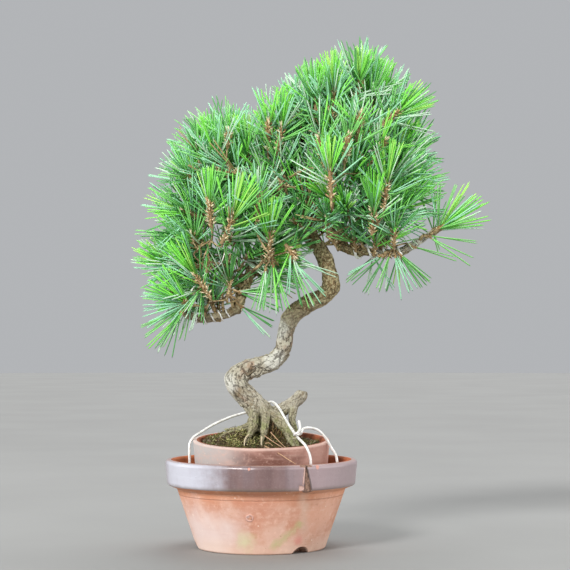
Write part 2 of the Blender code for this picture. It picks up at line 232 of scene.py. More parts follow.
# The pan: a wide thrown pan of soft orange clay, whose rolled rim wears a thick coat of purple-brown paint.
# Lime and algae have come through its wall. The rim is chipped and cracked. The foot has three notches.
PAN_STEPS = 160
PAN_OUTLINE = [
    (0.0, 0.0), (0.06, 0.0), (0.079, 0.0555), (0.088, 0.0592), (0.09, 0.08), (0.088, 0.082),
    (0.0815, 0.082), (0.08, 0.0805), (0.0715, 0.055), (0.0571, 0.0215), (0.053, 0.014),
    (0.047, 0.0121), (0.0, 0.0121),
]
PAN_ROUNDING = {1: 0.0012, 2: 0.001, 3: 0.0012, 4: 0.0014, 5: 0.0012, 6: 0.001, 7: 0.0008, 10: 0.003}
PAN_CUTS = {1: 34, 3: 13, 7: 12, 8: 12}
NOTCH_RADIUS = 0.0105
NOTCH_SINK = 0.004
NOTCH_TURNS = [math.radians(-52.6 + 120.0 * n) for n in range(3)]
# The flake lost from the rim, as corners of x, height and how far from the axis it is dug.
SPLIT = [(0.0406, 0.086, 0.0897), (0.039, 0.0585, 0.0866), (0.0458, 0.0585, 0.0866)]


def turn(outline, steps, rounding, cuts):
    """A thrown form: the outline spun round Z, with its corners rounded and its long runs cut finer."""
    bm = bmesh.new()
    points = [bm.verts.new((radius, 0.0, height)) for radius, height in outline]
    runs = [bm.edges.new(pair) for pair in zip(points, points[1:])]
    bmesh.ops.spin(
        bm, geom=points + runs, cent=(0, 0, 0), axis=(0, 0, 1), angle=2.0 * math.pi,
        steps=steps, use_merge=True
    )
    bmesh.ops.remove_doubles(bm, verts=bm.verts[:], dist=1e-6)
    places = {(round(r, 5), round(z, 5)): i for i, (r, z) in enumerate(outline)}

    def corner(vert):
        return places.get((round(math.hypot(vert.co.x, vert.co.y), 5), round(vert.co.z, 5)))

    for run, number in cuts.items():
        long_edges = [e for e in bm.edges if {corner(v) for v in e.verts} == {run, run + 1}]
        bmesh.ops.subdivide_edges(bm, edges=long_edges, cuts=number, use_grid_fill=True)
    for at, offset in rounding.items():
        ring = [e for e in bm.edges if all(corner(v) == at for v in e.verts)]
        bmesh.ops.bevel(
            bm, geom=ring, offset=offset, offset_type="OFFSET", affect="EDGES",
            segments=3, profile=0.5, material=-1
        )
    bmesh.ops.recalc_face_normals(bm, faces=bm.faces[:])
    return bm


def piece(name, bm, finish, slot, *replaced):
    """Makes a bmesh a piece of the object, which rides on its one body."""
    mesh = bpy.data.meshes.new(name)
    bm.to_mesh(mesh)
    bm.free()
    return piece_of(mesh, name, finish, slot, *replaced)


def piece_of(mesh, name, finish, slot, *replaced):
    mesh.materials.append(finish.material)
    mesh.shade_smooth()
    made = bpy.data.objects.new(name, mesh)
    bpy.context.scene.collection.objects.link(made)
    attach(made, "root")
    if replaced:
        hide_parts(*replaced)
    return made


def settle(made):
    """Makes a piece's live modifiers part of its mesh."""
    graph = bpy.context.evaluated_depsgraph_get()
    mesh = bpy.data.meshes.new_from_object(made.evaluated_get(graph))
    made.modifiers.clear()
    made.data = mesh


pan_clay = Finish("pan_clay", Specular_IOR_Level=0.3, Coat_Roughness=0.34, Coat_IOR=1.9)
pan_height = pan_clay.height()
pan_radius = pan_clay.node("VectorMath", {0: pan_clay.place((1.0, 1.0, 0.0))},
                           output="Value", operation="LENGTH")
inner_side = 1.0 - (pan_radius - 0.342 * pan_height).rise(0.0563, 0.0567)
inner_side = inner_side * pan_height.rise(0.01, 0.011)
crumble = pan_clay.grain(420.0, 5.0, shift=(3.0, 0.0, 0.0))
chip = 1.0 - (pan_clay.off((-0.0096, -0.0893, 0.0795)) + 0.003 * crumble).rise(0.0026, 0.0034)
far_chip = 1.0 - (pan_clay.off((0.0513, -0.0735, 0.0803)) + 0.0036 * crumble).rise(0.0034, 0.0042)
chip = chip.most(far_chip)
near_split = pan_clay.off_line((0.041, -0.079, 0.08), (0.043, -0.0765, 0.061))
near_split = 1.0 - near_split.rise(0.0055, 0.0065)
dug = (1.0 - (pan_radius - 0.0962 * pan_height).rise(0.0813, 0.0819)) * near_split * (1.0 - inner_side)
# Painted shadow: a dark line along the edge where the flake split from the rim.
painted_split_shadow = pan_clay.off_line((0.0412, -0.0792, 0.081), (0.0462, -0.0758, 0.0605)) + 0.0008 * crumble
painted_split_shadow = (1.0 - painted_split_shadow.rise(0.001, 0.0018)) * near_split
peeled = pan_clay.off_line((0.0399, -0.0806, 0.0815), (0.0384, -0.08, 0.065)) + 0.0016 * crumble
peeled = (1.0 - peeled.rise(0.0012, 0.0019)) * (1.0 - dug)
bare = 1.0 - (pan_clay.off((0.0368, -0.0804, 0.0618)) + 0.0045 * crumble).rise(0.0042, 0.0056)
bare = bare.most(peeled)
worn_edge = (pan_height + 0.0016 * pan_clay.grain(160.0, 6.0)).rise(0.0818, 0.0828)
in_paint = (pan_height + 0.0006 * pan_clay.grain(120.0)).rise(0.0592, 0.0596)
painted = in_paint * (1.0 - inner_side) * (1.0 - chip.most(bare).most(dug))

mottle = pan_clay.grain(42.0, 8.0, 0.62)
fine_mottle = pan_clay.grain(240.0, 5.0, 0.6, shift=(0, 0, 2.0))
clay = pan_clay.mix(mottle.rise(0.35, 0.65), srgb(204, 146, 120), srgb(220, 178, 158))
deep = (pan_height + 0.014 * pan_clay.grain(28.0, 4.0, shift=(6.0, 0, 0))).rise(0.048, 0.064)
clay = pan_clay.mix(deep * 0.75, clay, srgb(214, 146, 108))
front = pan_clay.off((0.0, -0.072, 0.046)) + 0.03 * pan_clay.grain(34.0, 6.0, shift=(0, 9.0, 0))
clay = pan_clay.mix((1.0 - front.rise(0.022, 0.044)) * 0.65, clay, srgb(202, 138, 112))
right_warm = pan_clay.off((0.062, -0.048, 0.034)) + 0.03 * pan_clay.grain(30.0, 5.0, shift=(0, 2.2, 0))
clay = pan_clay.mix((1.0 - right_warm.rise(0.022, 0.05)) * 0.7, clay, srgb(240, 186, 160))
clay = pan_clay.mix(fine_mottle.rise(0.52, 0.72) * 0.35, clay, srgb(242, 208, 188))
clay = pan_clay.mix((1.0 - fine_mottle.rise(0.28, 0.42)) * 0.35, clay, srgb(184, 118, 92))
turning = pan_clay.grain(16.0, 3.0, stretch=(1.0, 1.0, 22.0))
clay = pan_clay.mix(turning.rise(0.5, 0.8) * 0.3, clay, srgb(234, 192, 168))
tooled = 1.0 - pan_clay.node("Math", {0: pan_height - 0.0497}, operation="ABSOLUTE").rise(0.0003, 0.0008)
clay = pan_clay.mix(tooled * 0.35, clay, srgb(176, 116, 92))
lime_reach = pan_clay.off((-0.048, -0.042, 0.01)) * 20.0 + 1.3 * pan_clay.grain(30.0, 6.0, shift=(0, 4.1, 0))
clay = pan_clay.mix((1.0 - lime_reach.rise(0.85, 1.75)) * 0.8, clay, srgb(228, 210, 204))
stain = pan_clay.off_line((0.0378, -0.068, 0.0555), (0.04, -0.056, 0.025))
stain = stain + 0.012 * pan_clay.grain(90.0, 5.0)
clay = pan_clay.mix((1.0 - stain.rise(0.0045, 0.015)) * 0.55, clay, srgb(216, 188, 168))
foot_lime = pan_height + 0.022 * pan_clay.grain(45.0, 6.0, shift=(5.0, 0, 0))
clay = pan_clay.mix((1.0 - foot_lime.rise(0.011, 0.03)) * 0.5, clay, srgb(232, 204, 184))
algae = pan_clay.off((-0.0133, -0.0626, 0.0131)) + 0.02 * pan_clay.grain(120.0, 6.0)
clay = pan_clay.mix((1.0 - algae.rise(0.008, 0.024)) * 0.6, clay, srgb(204, 208, 158))
streak = pan_clay.off_line((0.012, -0.062, 0.008), (0.0345, -0.0591, 0.0275))
streak = streak + 0.01 * pan_clay.grain(150.0, 6.0)
clay = pan_clay.mix((1.0 - streak.rise(0.004, 0.011)) * 0.7, clay, srgb(186, 184, 128))
bright_streak = pan_clay.off_line((0.017, -0.0612, 0.01), (0.031, -0.0604, 0.024)) + 0.006 * mottle
broken = pan_clay.grain(210.0, 4.0, shift=(0, 1.0, 0)).rise(0.42, 0.56)
clay = pan_clay.mix((1.0 - bright_streak.rise(0.0026, 0.0042)) * broken * 0.6, clay, srgb(222, 218, 174))
pink = pan_clay.off((0.034, -0.0545, 0.012)) + 0.004 * pan_clay.grain(200.0)
clay = pan_clay.mix((1.0 - pink.rise(0.003, 0.009)) * 0.6, clay, srgb(216, 134, 122))
lime_specks = 1.0 - pan_clay.specks(170.0).rise(0.08, 0.17)
lime_specks = lime_specks * pan_clay.grain(60.0, shift=(0, 0, 7.0)).rise(0.56, 0.62)
clay = pan_clay.mix(lime_specks * 0.8, clay, srgb(248, 230, 212))
pits = 1.0 - pan_clay.specks(260.0, shift=(0.3, 0.2, 0.1)).rise(0.06, 0.16)
pits = pits * pan_clay.grain(75.0, shift=(2.0, 0, 3.0)).rise(0.54, 0.6)
clay = pan_clay.mix(pits * 0.6, clay, srgb(150, 94, 74))
blister = pan_clay.off((-0.0094, -0.0707, 0.0345)) + 0.0014 * crumble
blister_ring = blister.rise(0.0024, 0.0034) * (1.0 - blister.rise(0.0036, 0.005))
blister_heart = 1.0 - (pan_clay.off((-0.0106, -0.0705, 0.0358)) + 0.0014 * crumble).rise(0.0016, 0.0028)
blister_pit = 1.0 - (pan_clay.off((-0.0076, -0.0702, 0.0332)) + 0.0008 * crumble).rise(0.0008, 0.0015)
clay = pan_clay.mix(blister_ring * 0.5, clay, srgb(232, 194, 184))
clay = pan_clay.mix(blister_heart * 0.7, clay, srgb(240, 208, 200))
clay = pan_clay.mix(blister_pit * 0.8, clay, srgb(132, 92, 84))
clay = pan_clay.mix((1.0 - pan_height.rise(0.0, 0.0022)) * 0.5, clay, srgb(170, 130, 110))
# Painted shade: the pan's inside wall, in the gap round the pot, is made a darker, deeper orange.
inside = pan_clay.mix(pan_clay.grain(50.0, 6.0).rise(0.4, 0.7), srgb(176, 98, 58), srgb(138, 76, 46))
clay = pan_clay.mix(inner_side, clay, inside)
clay = pan_clay.mix(chip, clay, srgb(214, 156, 142))
clay = pan_clay.mix(bare * in_paint, clay, srgb(208, 172, 160))
clay = pan_clay.mix(dug, clay, pan_clay.mix(crumble.rise(0.4, 0.6), srgb(122, 96, 84), srgb(158, 126, 108)))
streaks = pan_clay.grain(90.0, 4.0, 0.6, stretch=(1.0, 1.0, 0.12))
paint = pan_clay.mix(streaks.rise(0.3, 0.72), srgb(108, 80, 78), srgb(126, 97, 94))
bluish = pan_clay.grain(55.0, 3.0, 0.5, stretch=(1.0, 1.0, 0.2), shift=(7.0, 0, 0))
paint = pan_clay.mix(bluish.rise(0.48, 0.8) * 0.4, paint, srgb(122, 114, 122))
paint = pan_clay.mix(pan_clay.grain(70.0, 4.0, shift=(0, 5.0, 0)).rise(0.55, 0.75) * 0.4, paint,
                     srgb(140, 104, 98))
paint = pan_clay.mix(pan_clay.grain(600.0, 3.0).rise(0.5, 0.75) * 0.3, paint, srgb(150, 134, 132))
low_dirt = 1.0 - (pan_height + 0.003 * pan_clay.grain(90.0)).rise(0.061, 0.0645)
paint = pan_clay.mix(low_dirt * 0.65, paint, srgb(104, 88, 76))
# Painted highlights: the rim's paint turns pale where the side panels would glint on it, to the front left
# and the front right, broken up by the streaks and a fine grain.
painted_sheen_breakup = 0.1 * (streaks - 0.5) + 0.13 * (pan_clay.grain(130.0, 5.0, 0.65, shift=(2.0, 0, 0)) - 0.5)
painted_sheen = pan_clay.node("VectorMath", {0: pan_clay.place((1.0, 1.0, 0.0)), 1: (-0.8, -0.6, 0.0)},
                      output="Value",
                      operation="DOT_PRODUCT") / pan_radius + painted_sheen_breakup
paint = pan_clay.mix(painted_sheen.rise(0.76, 1.0) * 0.9, paint, srgb(198, 199, 210))
painted_far_sheen = pan_clay.node("VectorMath", {0: pan_clay.place((1.0, 1.0, 0.0)), 1: (0.86, -0.51, 0.0)},
                          output="Value",
                          operation="DOT_PRODUCT") / pan_radius + painted_sheen_breakup
paint = pan_clay.mix(painted_far_sheen.rise(0.6, 0.95) * 0.66, paint, srgb(184, 162, 166))
paint = pan_clay.mix(low_dirt * 0.5, paint, srgb(112, 92, 80))
paint = pan_clay.mix(worn_edge * 0.7, paint, srgb(170, 140, 132))
shell = pan_clay.mix(painted, clay, paint)
shell = pan_clay.mix(painted_split_shadow * 0.8, shell, srgb(70, 52, 46))
pan_clay.feed("Base Color", shell)
pan_clay.feed("Roughness", 0.86 - painted * (0.4 - 0.22 * streaks))
pan_clay.feed("Coat Weight", painted * (0.95 - 0.5 * fine_mottle))
pan_clay.relief(
    0.1 * mottle + 0.1 * turning + 0.06 * pan_clay.grain(700.0, 3.0) - 0.2 * pits
    + 0.12 * lime_specks - 0.25 * tooled
    + 0.5 * blister_ring + 0.3 * blister_heart - 0.6 * blister_pit
    - 0.4 * chip.most(bare) + 0.08 * painted * streaks
    + 0.5 * dug * crumble,
    0.0012,
)

bm = turn(PAN_OUTLINE, PAN_STEPS, PAN_ROUNDING, PAN_CUTS)
for vert in bm.verts:
    across = math.hypot(vert.co.x, vert.co.y)
    if across < 0.045:
        continue
    rings = noise.noise(Vector((0.0, 3.0, vert.co.z * 260.0))) * 0.00012
    hand = noise.noise(vert.co * 22.0) * 0.00035
    fresh = (vert.co - Vector((-0.0096, -0.0895, 0.0808))).length
    crumb = 0.0011 * max(0.0, 1.0 - fresh / 0.003)
    fresh = (vert.co - Vector((0.0375, -0.0812, 0.0625))).length
    crumb += 0.0009 * max(0.0, 1.0 - fresh / 0.0045)
    vert.co.xy *= 1.0 + (rings + hand - crumb) / across
pan = piece("pan", bm, pan_clay, "pan_clay", "outer_pan")
cuts = []
for turned in NOTCH_TURNS:
    bm = bmesh.new()
    bmesh.ops.create_cone(bm, cap_ends=True, segments=48, radius1=NOTCH_RADIUS,
                          radius2=NOTCH_RADIUS, depth=0.024)
    lie = Matrix.Translation((0.058, 0.0, -NOTCH_SINK)) @ Matrix.Rotation(math.pi / 2.0, 4, "Y")
    bmesh.ops.transform(bm, matrix=Matrix.Rotation(turned, 4, "Z") @ lie, verts=bm.verts[:])
    cuts.append(bm)
bm = bmesh.new()
for x, height, depth in SPLIT:
    for across in (depth, 0.096):
        bm.verts.new((x, -math.sqrt(across ** 2 - x ** 2), height))
bmesh.ops.convex_hull(bm, input=bm.verts[:])
cuts.append(bm)
cutters = []
for bm in cuts:
    cutter_mesh = bpy.data.meshes.new("cutter")
    bm.to_mesh(cutter_mesh)
    bm.free()
    cutter = bpy.data.objects.new("cutter", cutter_mesh)
    bpy.context.scene.collection.objects.link(cutter)
    cutters.append(cutter)
    pan.modifiers.new("cut", "BOOLEAN").object = cutter
settle(pan)
for cutter in cutters:
    bpy.data.objects.remove(cutter)
pan.data.set_sharp_from_angle(angle=math.radians(45))


# The training pot: a plain red-brown clay pot that leans towards the front inside the pan.
# Its lip is pale on the left, partly weathered bloom and partly a painted highlight. The top of the lip
# carries a painted highlight, and the inside above the soil is painted dark as shade.
POT_STEPS = 128
POT_HEIGHT = 0.0845
POT_RIM_LEVEL = 0.1005
POT_LEAN = math.radians(4.5)
POT_OUTLINE = [
    (0.009, 0.0), (0.05, 0.0), (0.0588, 0.056), (0.0622, 0.059), (0.0641, 0.0845), (0.0577, 0.0845),
    (0.0445, 0.008), (0.009, 0.008), (0.009, 0.0),
]
POT_ROUNDING = {1: 0.001, 2: 0.0006, 3: 0.001, 4: 0.0016, 5: 0.0012}
POT_CUTS = {1: 24, 3: 12, 5: 10}
POT_PLACE = (
    Matrix.Translation((0.0, POT_HEIGHT * math.sin(POT_LEAN),
                        POT_RIM_LEVEL - POT_HEIGHT * math.cos(POT_LEAN)))
    @ Matrix.Rotation(POT_LEAN, 4, "X")
)

pot_clay = Finish("pot_clay", Specular_IOR_Level=0.3)
from_foot = pot_clay.node("VectorMath", {0: pot_clay.place(), 1: POT_PLACE.translation}, operation="SUBTRACT")
own = pot_clay.node("VectorMath", {0: from_foot, 1: POT_PLACE.col[2][:3]},
                    output="Value", operation="DOT_PRODUCT")
own_far = pot_clay.node("VectorMath", {0: from_foot}, output="Value", operation="LENGTH")
pot_side = 1.0 - ((own_far * own_far - own * own) ** 0.5 - 0.155 * own).rise(0.0474, 0.0478)
brown = pot_clay.grain(34.0, 6.0, 0.6)
clay = pot_clay.mix(brown.rise(0.35, 0.65), srgb(186, 140, 126), srgb(206, 164, 150))
front = pot_clay.off_line((-0.018, -0.067, 0.083), (0.034, -0.06, 0.0815))
front = front + 0.02 * pot_clay.grain(60.0, 5.0, stretch=(1.0, 1.0, 2.0), shift=(0, 8, 0))
clay = pot_clay.mix((1.0 - front.rise(0.013, 0.028)) * 0.9, clay, srgb(120, 80, 68))
across = pot_clay.node("SeparateXYZ", {0: pot_clay.place()}, output="X")
# Weathered bloom and painted highlight: the clay turns pale grey towards the left.
bloom_and_painted_highlight = across + 0.034 * pot_clay.grain(40.0, 4.0, stretch=(1, 1, 1.6))
bloom_and_painted_highlight = (1.0 - bloom_and_painted_highlight.rise(-0.034, 0.016)) * 0.8
clay = pot_clay.mix(bloom_and_painted_highlight, clay, srgb(180, 184, 182))
band = pot_clay.grain(24.0, 3.0, stretch=(1, 1, 12.0))
clay = pot_clay.mix(band.rise(0.5, 0.7) * 0.35, clay, srgb(206, 174, 160))
# Painted highlight: a pale line along the top of the lip.
clay = pot_clay.mix((own + 0.0012 * brown).rise(0.0826, 0.0838) * 0.5, clay, srgb(214, 184, 172))
clay = pot_clay.mix(pot_clay.grain(260.0, 5.0, 0.6).rise(0.5, 0.7) * 0.4, clay, srgb(216, 178, 162))
# Painted shade: the inside wall above the soil is made dark brown.
painted_inner_shade = pot_clay.mix(pot_clay.grain(80.0, 5.0).rise(0.4, 0.7), srgb(150, 84, 54), srgb(104, 58, 40))
clay = pot_clay.mix(pot_side, clay, painted_inner_shade)
speck = (1.0 - pot_clay.specks(210.0).rise(0.07, 0.16)) * pot_clay.grain(64.0).rise(0.55, 0.6)
clay = pot_clay.mix(speck * 0.6, clay, srgb(232, 212, 198))
pot_clay.feed("Base Color", clay)
pot_clay.feed("Roughness", 0.78 + 0.14 * brown)
pot_clay.relief(0.2 * brown + 0.08 * pot_clay.grain(650.0, 3.0) + 0.15 * speck + 0.08 * band, 0.0011)

bm = turn(POT_OUTLINE, POT_STEPS, POT_ROUNDING, POT_CUTS)
for vert in bm.verts:
    vert.co.xy *= 1.0 + noise.noise(vert.co * 20.0 + Vector((4.0, 0.0, 0.0))) * 0.004
bmesh.ops.transform(bm, matrix=POT_PLACE, verts=bm.verts[:])
pot = piece("pot", bm, pot_clay, "pot_clay", "training_pot")
pot.data.set_sharp_from_angle(angle=math.radians(50))


# The root ball: dark gritty soil under a mat of moss, heaped up on the left of the trunk.
# It fills the training pot, and its grit, moss and hair roots are separate small pieces.
SOIL_RADIUS = 0.0558
SOIL_BELOW_RIM = 0.004
MOUND_MIDDLE = (-0.019, 0.003)
MOUND_HEIGHT = 0.0142
MOUND_SPREAD = 0.0185
ROOT_MOUND = (0.0125, -0.004, 0.0165, 0.0115)
SOIL_STEPS = 120


def soil_level(x, y):
    """The soil's plain surface, in the pot's own frame."""
    away = ((x - MOUND_MIDDLE[0]) ** 2 + (y - MOUND_MIDDLE[1]) ** 2) / (2.0 * MOUND_SPREAD ** 2)
    lumps = 0.001 * noise.noise(Vector((x * 90.0, y * 90.0, 1.7)))
    under = ((x - ROOT_MOUND[0]) ** 2 + (y - ROOT_MOUND[1]) ** 2) / (2.0 * ROOT_MOUND[3] ** 2)
    mounds = max(MOUND_HEIGHT * math.exp(-away), ROOT_MOUND[2] * math.exp(-under))
    return POT_HEIGHT - SOIL_BELOW_RIM + mounds + lumps


soil_finish = Finish("mossy_soil", Roughness=0.95, Specular_IOR_Level=0.2)
crumbs = soil_finish.grain(420.0, 6.0, 0.7)
soil_colour = soil_finish.mix(crumbs.rise(0.38, 0.66), srgb(38, 29, 20), srgb(94, 80, 50))
soil_colour = soil_finish.mix(soil_finish.grain(80.0, 5.0).rise(0.5, 0.66) * 0.6, soil_colour,
                              srgb(84, 86, 42))
soil_colour = soil_finish.mix(soil_finish.grain(900.0, 3.0).rise(0.62, 0.7) * 0.5, soil_colour,
                              srgb(148, 136, 94))
soil_finish.feed("Base Color", soil_colour)
soil_finish.relief(crumbs, 0.0014)

bm = turn([(0.0, 0.0083), (0.0438, 0.0083), (SOIL_RADIUS, 0.0795), (0.0, 0.0795)], SOIL_STEPS, {}, {2: 46})
for vert in bm.verts:
    if vert.co.z < 0.079:
        continue
    x, y = vert.co.xy
    rough = noise.fractal(Vector((x, y, 0.0)) * 260.0, 0.6, 2.0, 4) * 0.0011
    vert.co.z = soil_level(x, y) + rough
bmesh.ops.transform(bm, matrix=POT_PLACE, verts=bm.verts[:])
piece("root_ball_soil", bm, soil_finish, "mossy_soil", "root_ball")


def on_soil(x, y, lift=0.0):
    return POT_PLACE @ Vector((x, y, soil_level(x, y) + lift))


def joined(name, points, faces):
    """One mesh of many copies of a small shape: points is copies x corners x 3, faces index one copy."""
    copies, corners = points.shape[:2]
    sizes = np.tile([len(f) for f in faces], copies)
    one = np.concatenate([np.array(f) for f in faces])
    loops = (one[None, :] + corners * np.arange(copies)[:, None]).reshape(-1)
    mesh = bpy.data.meshes.new(name)
    mesh.vertices.add(copies * corners)
    mesh.vertices.foreach_set("co", points.reshape(-1).astype(np.float32))
    mesh.loops.add(len(loops))
    mesh.loops.foreach_set("vertex_index", loops.astype(np.int32))
    mesh.polygons.add(len(sizes))
    mesh.polygons.foreach_set("loop_start", np.concatenate([[0], np.cumsum(sizes)[:-1]]).astype(np.int32))
    mesh.update(calc_edges=True)
    return mesh


def unit(rows):
    return rows / np.maximum(np.linalg.norm(rows, axis=1, keepdims=True), 1e-9)


def blades(name, start, way, bend, length, width, profile, sides=3, thin=1.0):
    """Many tapering blades. Each bends from its way by bend at its tip, and profile gives (share of
    length, share of width) for each ring, the last one a point."""
    across = unit(np.cross(way, np.array([0.31, 0.52, 0.79])))
    up = np.cross(way, across)
    rings = []
    for share, wide in profile:
        middle = start + way * (length * share)[:, None] + bend * (share ** 2)
        if wide == 0.0:
            rings.append(middle[:, None, :])
            continue
        for side in range(sides):
            angle = 2.0 * math.pi * side / sides
            reach = (width * wide)[:, None] * (math.cos(angle) * across + thin * math.sin(angle) * up)
            rings.append((middle + reach)[:, None, :])
    faces = [tuple(reversed(range(sides)))]
    levels = len(profile) - 1
    for level in range(levels - 1):
        for side in range(sides):
            low, other = level * sides + side, level * sides + (side + 1) % sides
            faces.append((low, other, other + sides, low + sides))
    top = levels * sides
    for side in range(sides):
        faces.append(((levels - 1) * sides + side, (levels - 1) * sides + (side + 1) % sides, top))
    return joined(name, np.concatenate(rings, axis=1), faces)


MOSS_STRANDS = 3600
MOSS_CLUMPS = 70
MOSS_COLOURS = {
    "moss_green": (82, 100, 38), "moss_olive": (116, 112, 54), "moss_brown": (88, 70, 40),
    "moss_pale": (196, 190, 128)}
moss_draw = random.Random(11)
clumps = []
while len(clumps) < MOSS_CLUMPS:
    turned, out = moss_draw.uniform(0, 2 * math.pi), 0.054 * math.sqrt(moss_draw.random())
    clumps.append((out * math.cos(turned), out * math.sin(turned), moss_draw.uniform(0.0015, 0.005)))
strands = {kind: [] for kind in MOSS_COLOURS}
for _ in range(MOSS_STRANDS):
    x, y, size = moss_draw.choice(clumps)
    x, y = x + moss_draw.gauss(0, size), y + moss_draw.gauss(0, size)
    if math.hypot(x, y) > 0.0545:
        continue
    on_mound = math.hypot(x - MOUND_MIDDLE[0], y + 0.012 - MOUND_MIDDLE[1]) < 0.022
    kind = moss_draw.choices(list(strands), (2, 4, 4, 7) if on_mound else (4, 4, 6, 1))[0]
    lean = Vector((moss_draw.gauss(0, 1.1), moss_draw.gauss(0, 1.1), 0.8)).normalized()
    bend = Vector((moss_draw.gauss(0, 1), moss_draw.gauss(0, 1), -0.6)) * 0.0009
    strands[kind].append((*on_soil(x, y, -0.0005), *lean, *bend,
                               moss_draw.uniform(0.0018, 0.0046) * (1.35 if on_mound else 1.0), 0.00034))
for kind, rows in strands.items():
    rows = np.array(rows)
    finish = Finish(kind, Base_Color=srgb(*MOSS_COLOURS[kind]), Roughness=0.8)
    mesh = blades(kind, rows[:, :3], rows[:, 3:6], rows[:, 6:9], rows[:, 9], rows[:, 10],
                  [(0.0, 1.0), (0.5, 0.9), (1.0, 0.0)])
    piece_of(mesh, kind, finish, "mossy_soil")

GRIT = {"grit_grey": ((120, 110, 90), 240), "grit_brown": ((84, 64, 42), 420),
        "grit_pale": ((176, 164, 132), 70)}
bm = bmesh.new()
bmesh.ops.create_icosphere(bm, subdivisions=1, radius=1.0)
pebble = np.array([vert.co[:] for vert in bm.verts])
pebble_faces = [tuple(vert.index for vert in face.verts) for face in bm.faces]
bm.free()
grit_draw = np.random.default_rng(5)
for kind, (colour, number) in GRIT.items():
    stones = []
    for _ in range(number):
        turned, out = grit_draw.uniform(0, 2 * math.pi), 0.0545 * math.sqrt(grit_draw.random())
        middle = on_soil(out * math.cos(turned), out * math.sin(turned), 0.0002)
        size = grit_draw.uniform(0.0005, 0.0014) * np.array([
            1.0, grit_draw.uniform(0.6, 1.0), grit_draw.uniform(0.5, 0.9)])
        way = Matrix.Rotation(grit_draw.uniform(0, 6.3), 3, "Z")
        way = way @ Matrix.Rotation(grit_draw.uniform(0, 6.3), 3, "X")
        lump = pebble * size * (1.0 + grit_draw.normal(0, 0.12, (len(pebble), 1)))
        stones.append(lump @ np.array(way).T + np.array(middle))
    finish = Finish(kind, Base_Color=srgb(*colour), Roughness=0.9)
    piece_of(joined(kind, np.array(stones), pebble_faces), kind, finish, "mossy_soil")


# The trunk and its surface roots: one old twisted stem in flaking plates of pale bark, on roots laid bare.
# The cut-back root on the right stands up as a stub. The bark is coarse and pale low down, finer above.
TRUNK = [
    (0.004, 0.0005, 0.1085, 0.0125), (0.003, 0.0, 0.121, 0.0116), (-0.008, -0.001, 0.1345, 0.0104),
    (-0.0185, -0.002, 0.1455, 0.01), (-0.0238, -0.001, 0.155, 0.0104), (-0.018, 0.0008, 0.1625, 0.0098),
    (-0.006, 0.0026, 0.1682, 0.0088), (0.0075, 0.0042, 0.1716, 0.0081), (0.0178, 0.0048, 0.18, 0.0077),
    (0.0217, 0.004, 0.1907, 0.0073), (0.0236, 0.003, 0.204, 0.0075), (0.03, 0.0018, 0.2178, 0.0085),
    (0.0435, 0.0002, 0.2272, 0.0081), (0.0575, -0.001, 0.2343, 0.008), (0.065, -0.0008, 0.243, 0.008),
    (0.0647, 0.0, 0.2552, 0.0077), (0.0575, 0.0022, 0.2745, 0.0074), (0.0465, 0.006, 0.2925, 0.007),
    (0.043, 0.008, 0.3118, 0.0064), (0.0506, 0.008, 0.3335, 0.0056), (0.0628, 0.006, 0.3588, 0.0048),
    (0.0722, 0.004, 0.3841, 0.004), (0.0775, 0.002, 0.408, 0.0032),
]
ROOTS = {
    "root_front_left": [
        (-0.004, -0.004, 0.133, 0.0054), (-0.0068, -0.013, 0.1245, 0.0048), (-0.0068, -0.0165, 0.115, 0.0042),
        (-0.0105, -0.0205, 0.106, 0.0026), (-0.015, -0.025, 0.095, 0.0018)],
    "root_front": [
        (0.0035, -0.006, 0.128, 0.0044), (0.0044, -0.0155, 0.1205, 0.0043), (0.003, -0.0195, 0.11, 0.0034),
        (0.0012, -0.0225, 0.101, 0.0021), (0.0006, -0.024, 0.09, 0.0017)],
    "root_right": [
        (0.007, -0.005, 0.124, 0.0062), (0.0165, -0.0098, 0.1185, 0.0062), (0.0235, -0.015, 0.111, 0.0055),
        (0.029, -0.02, 0.102, 0.0045), (0.033, -0.024, 0.092, 0.0036)],
    "root_left": [
        (-0.002, 0.001, 0.1165, 0.0044), (-0.011, -0.0005, 0.1128, 0.0041), (-0.024, -0.0015, 0.1078, 0.0037),
        (-0.037, -0.0025, 0.1016, 0.0032), (-0.047, -0.0035, 0.095, 0.0024)],
    "root_back_left": [
        (-0.004, 0.005, 0.124, 0.0046), (-0.009, 0.014, 0.117, 0.0042), (-0.012, 0.022, 0.108, 0.0033),
        (-0.015, 0.03, 0.096, 0.0024)],
    "root_back_right": [
        (0.002, 0.0095, 0.1205, 0.0042), (0.009, 0.0195, 0.115, 0.004), (0.018, 0.0265, 0.107, 0.0032),
        (0.024, 0.033, 0.096, 0.0024)],
    "root_stub": [
        (0.0085, 0.0055, 0.124, 0.006), (0.018, 0.0068, 0.1275, 0.0064), (0.027, 0.007, 0.1325, 0.006),
        (0.0345, 0.007, 0.1378, 0.0058), (0.038, 0.007, 0.1425, 0.0055), (0.0387, 0.007, 0.1452, 0.004)],
    "root_stub_leg": [
        (0.0315, 0.005, 0.133, 0.0044), (0.0298, 0.0035, 0.125, 0.0039), (0.029, 0.001, 0.116, 0.0033),
        (0.032, -0.002, 0.106, 0.0026), (0.034, -0.004, 0.092, 0.0022)],
}
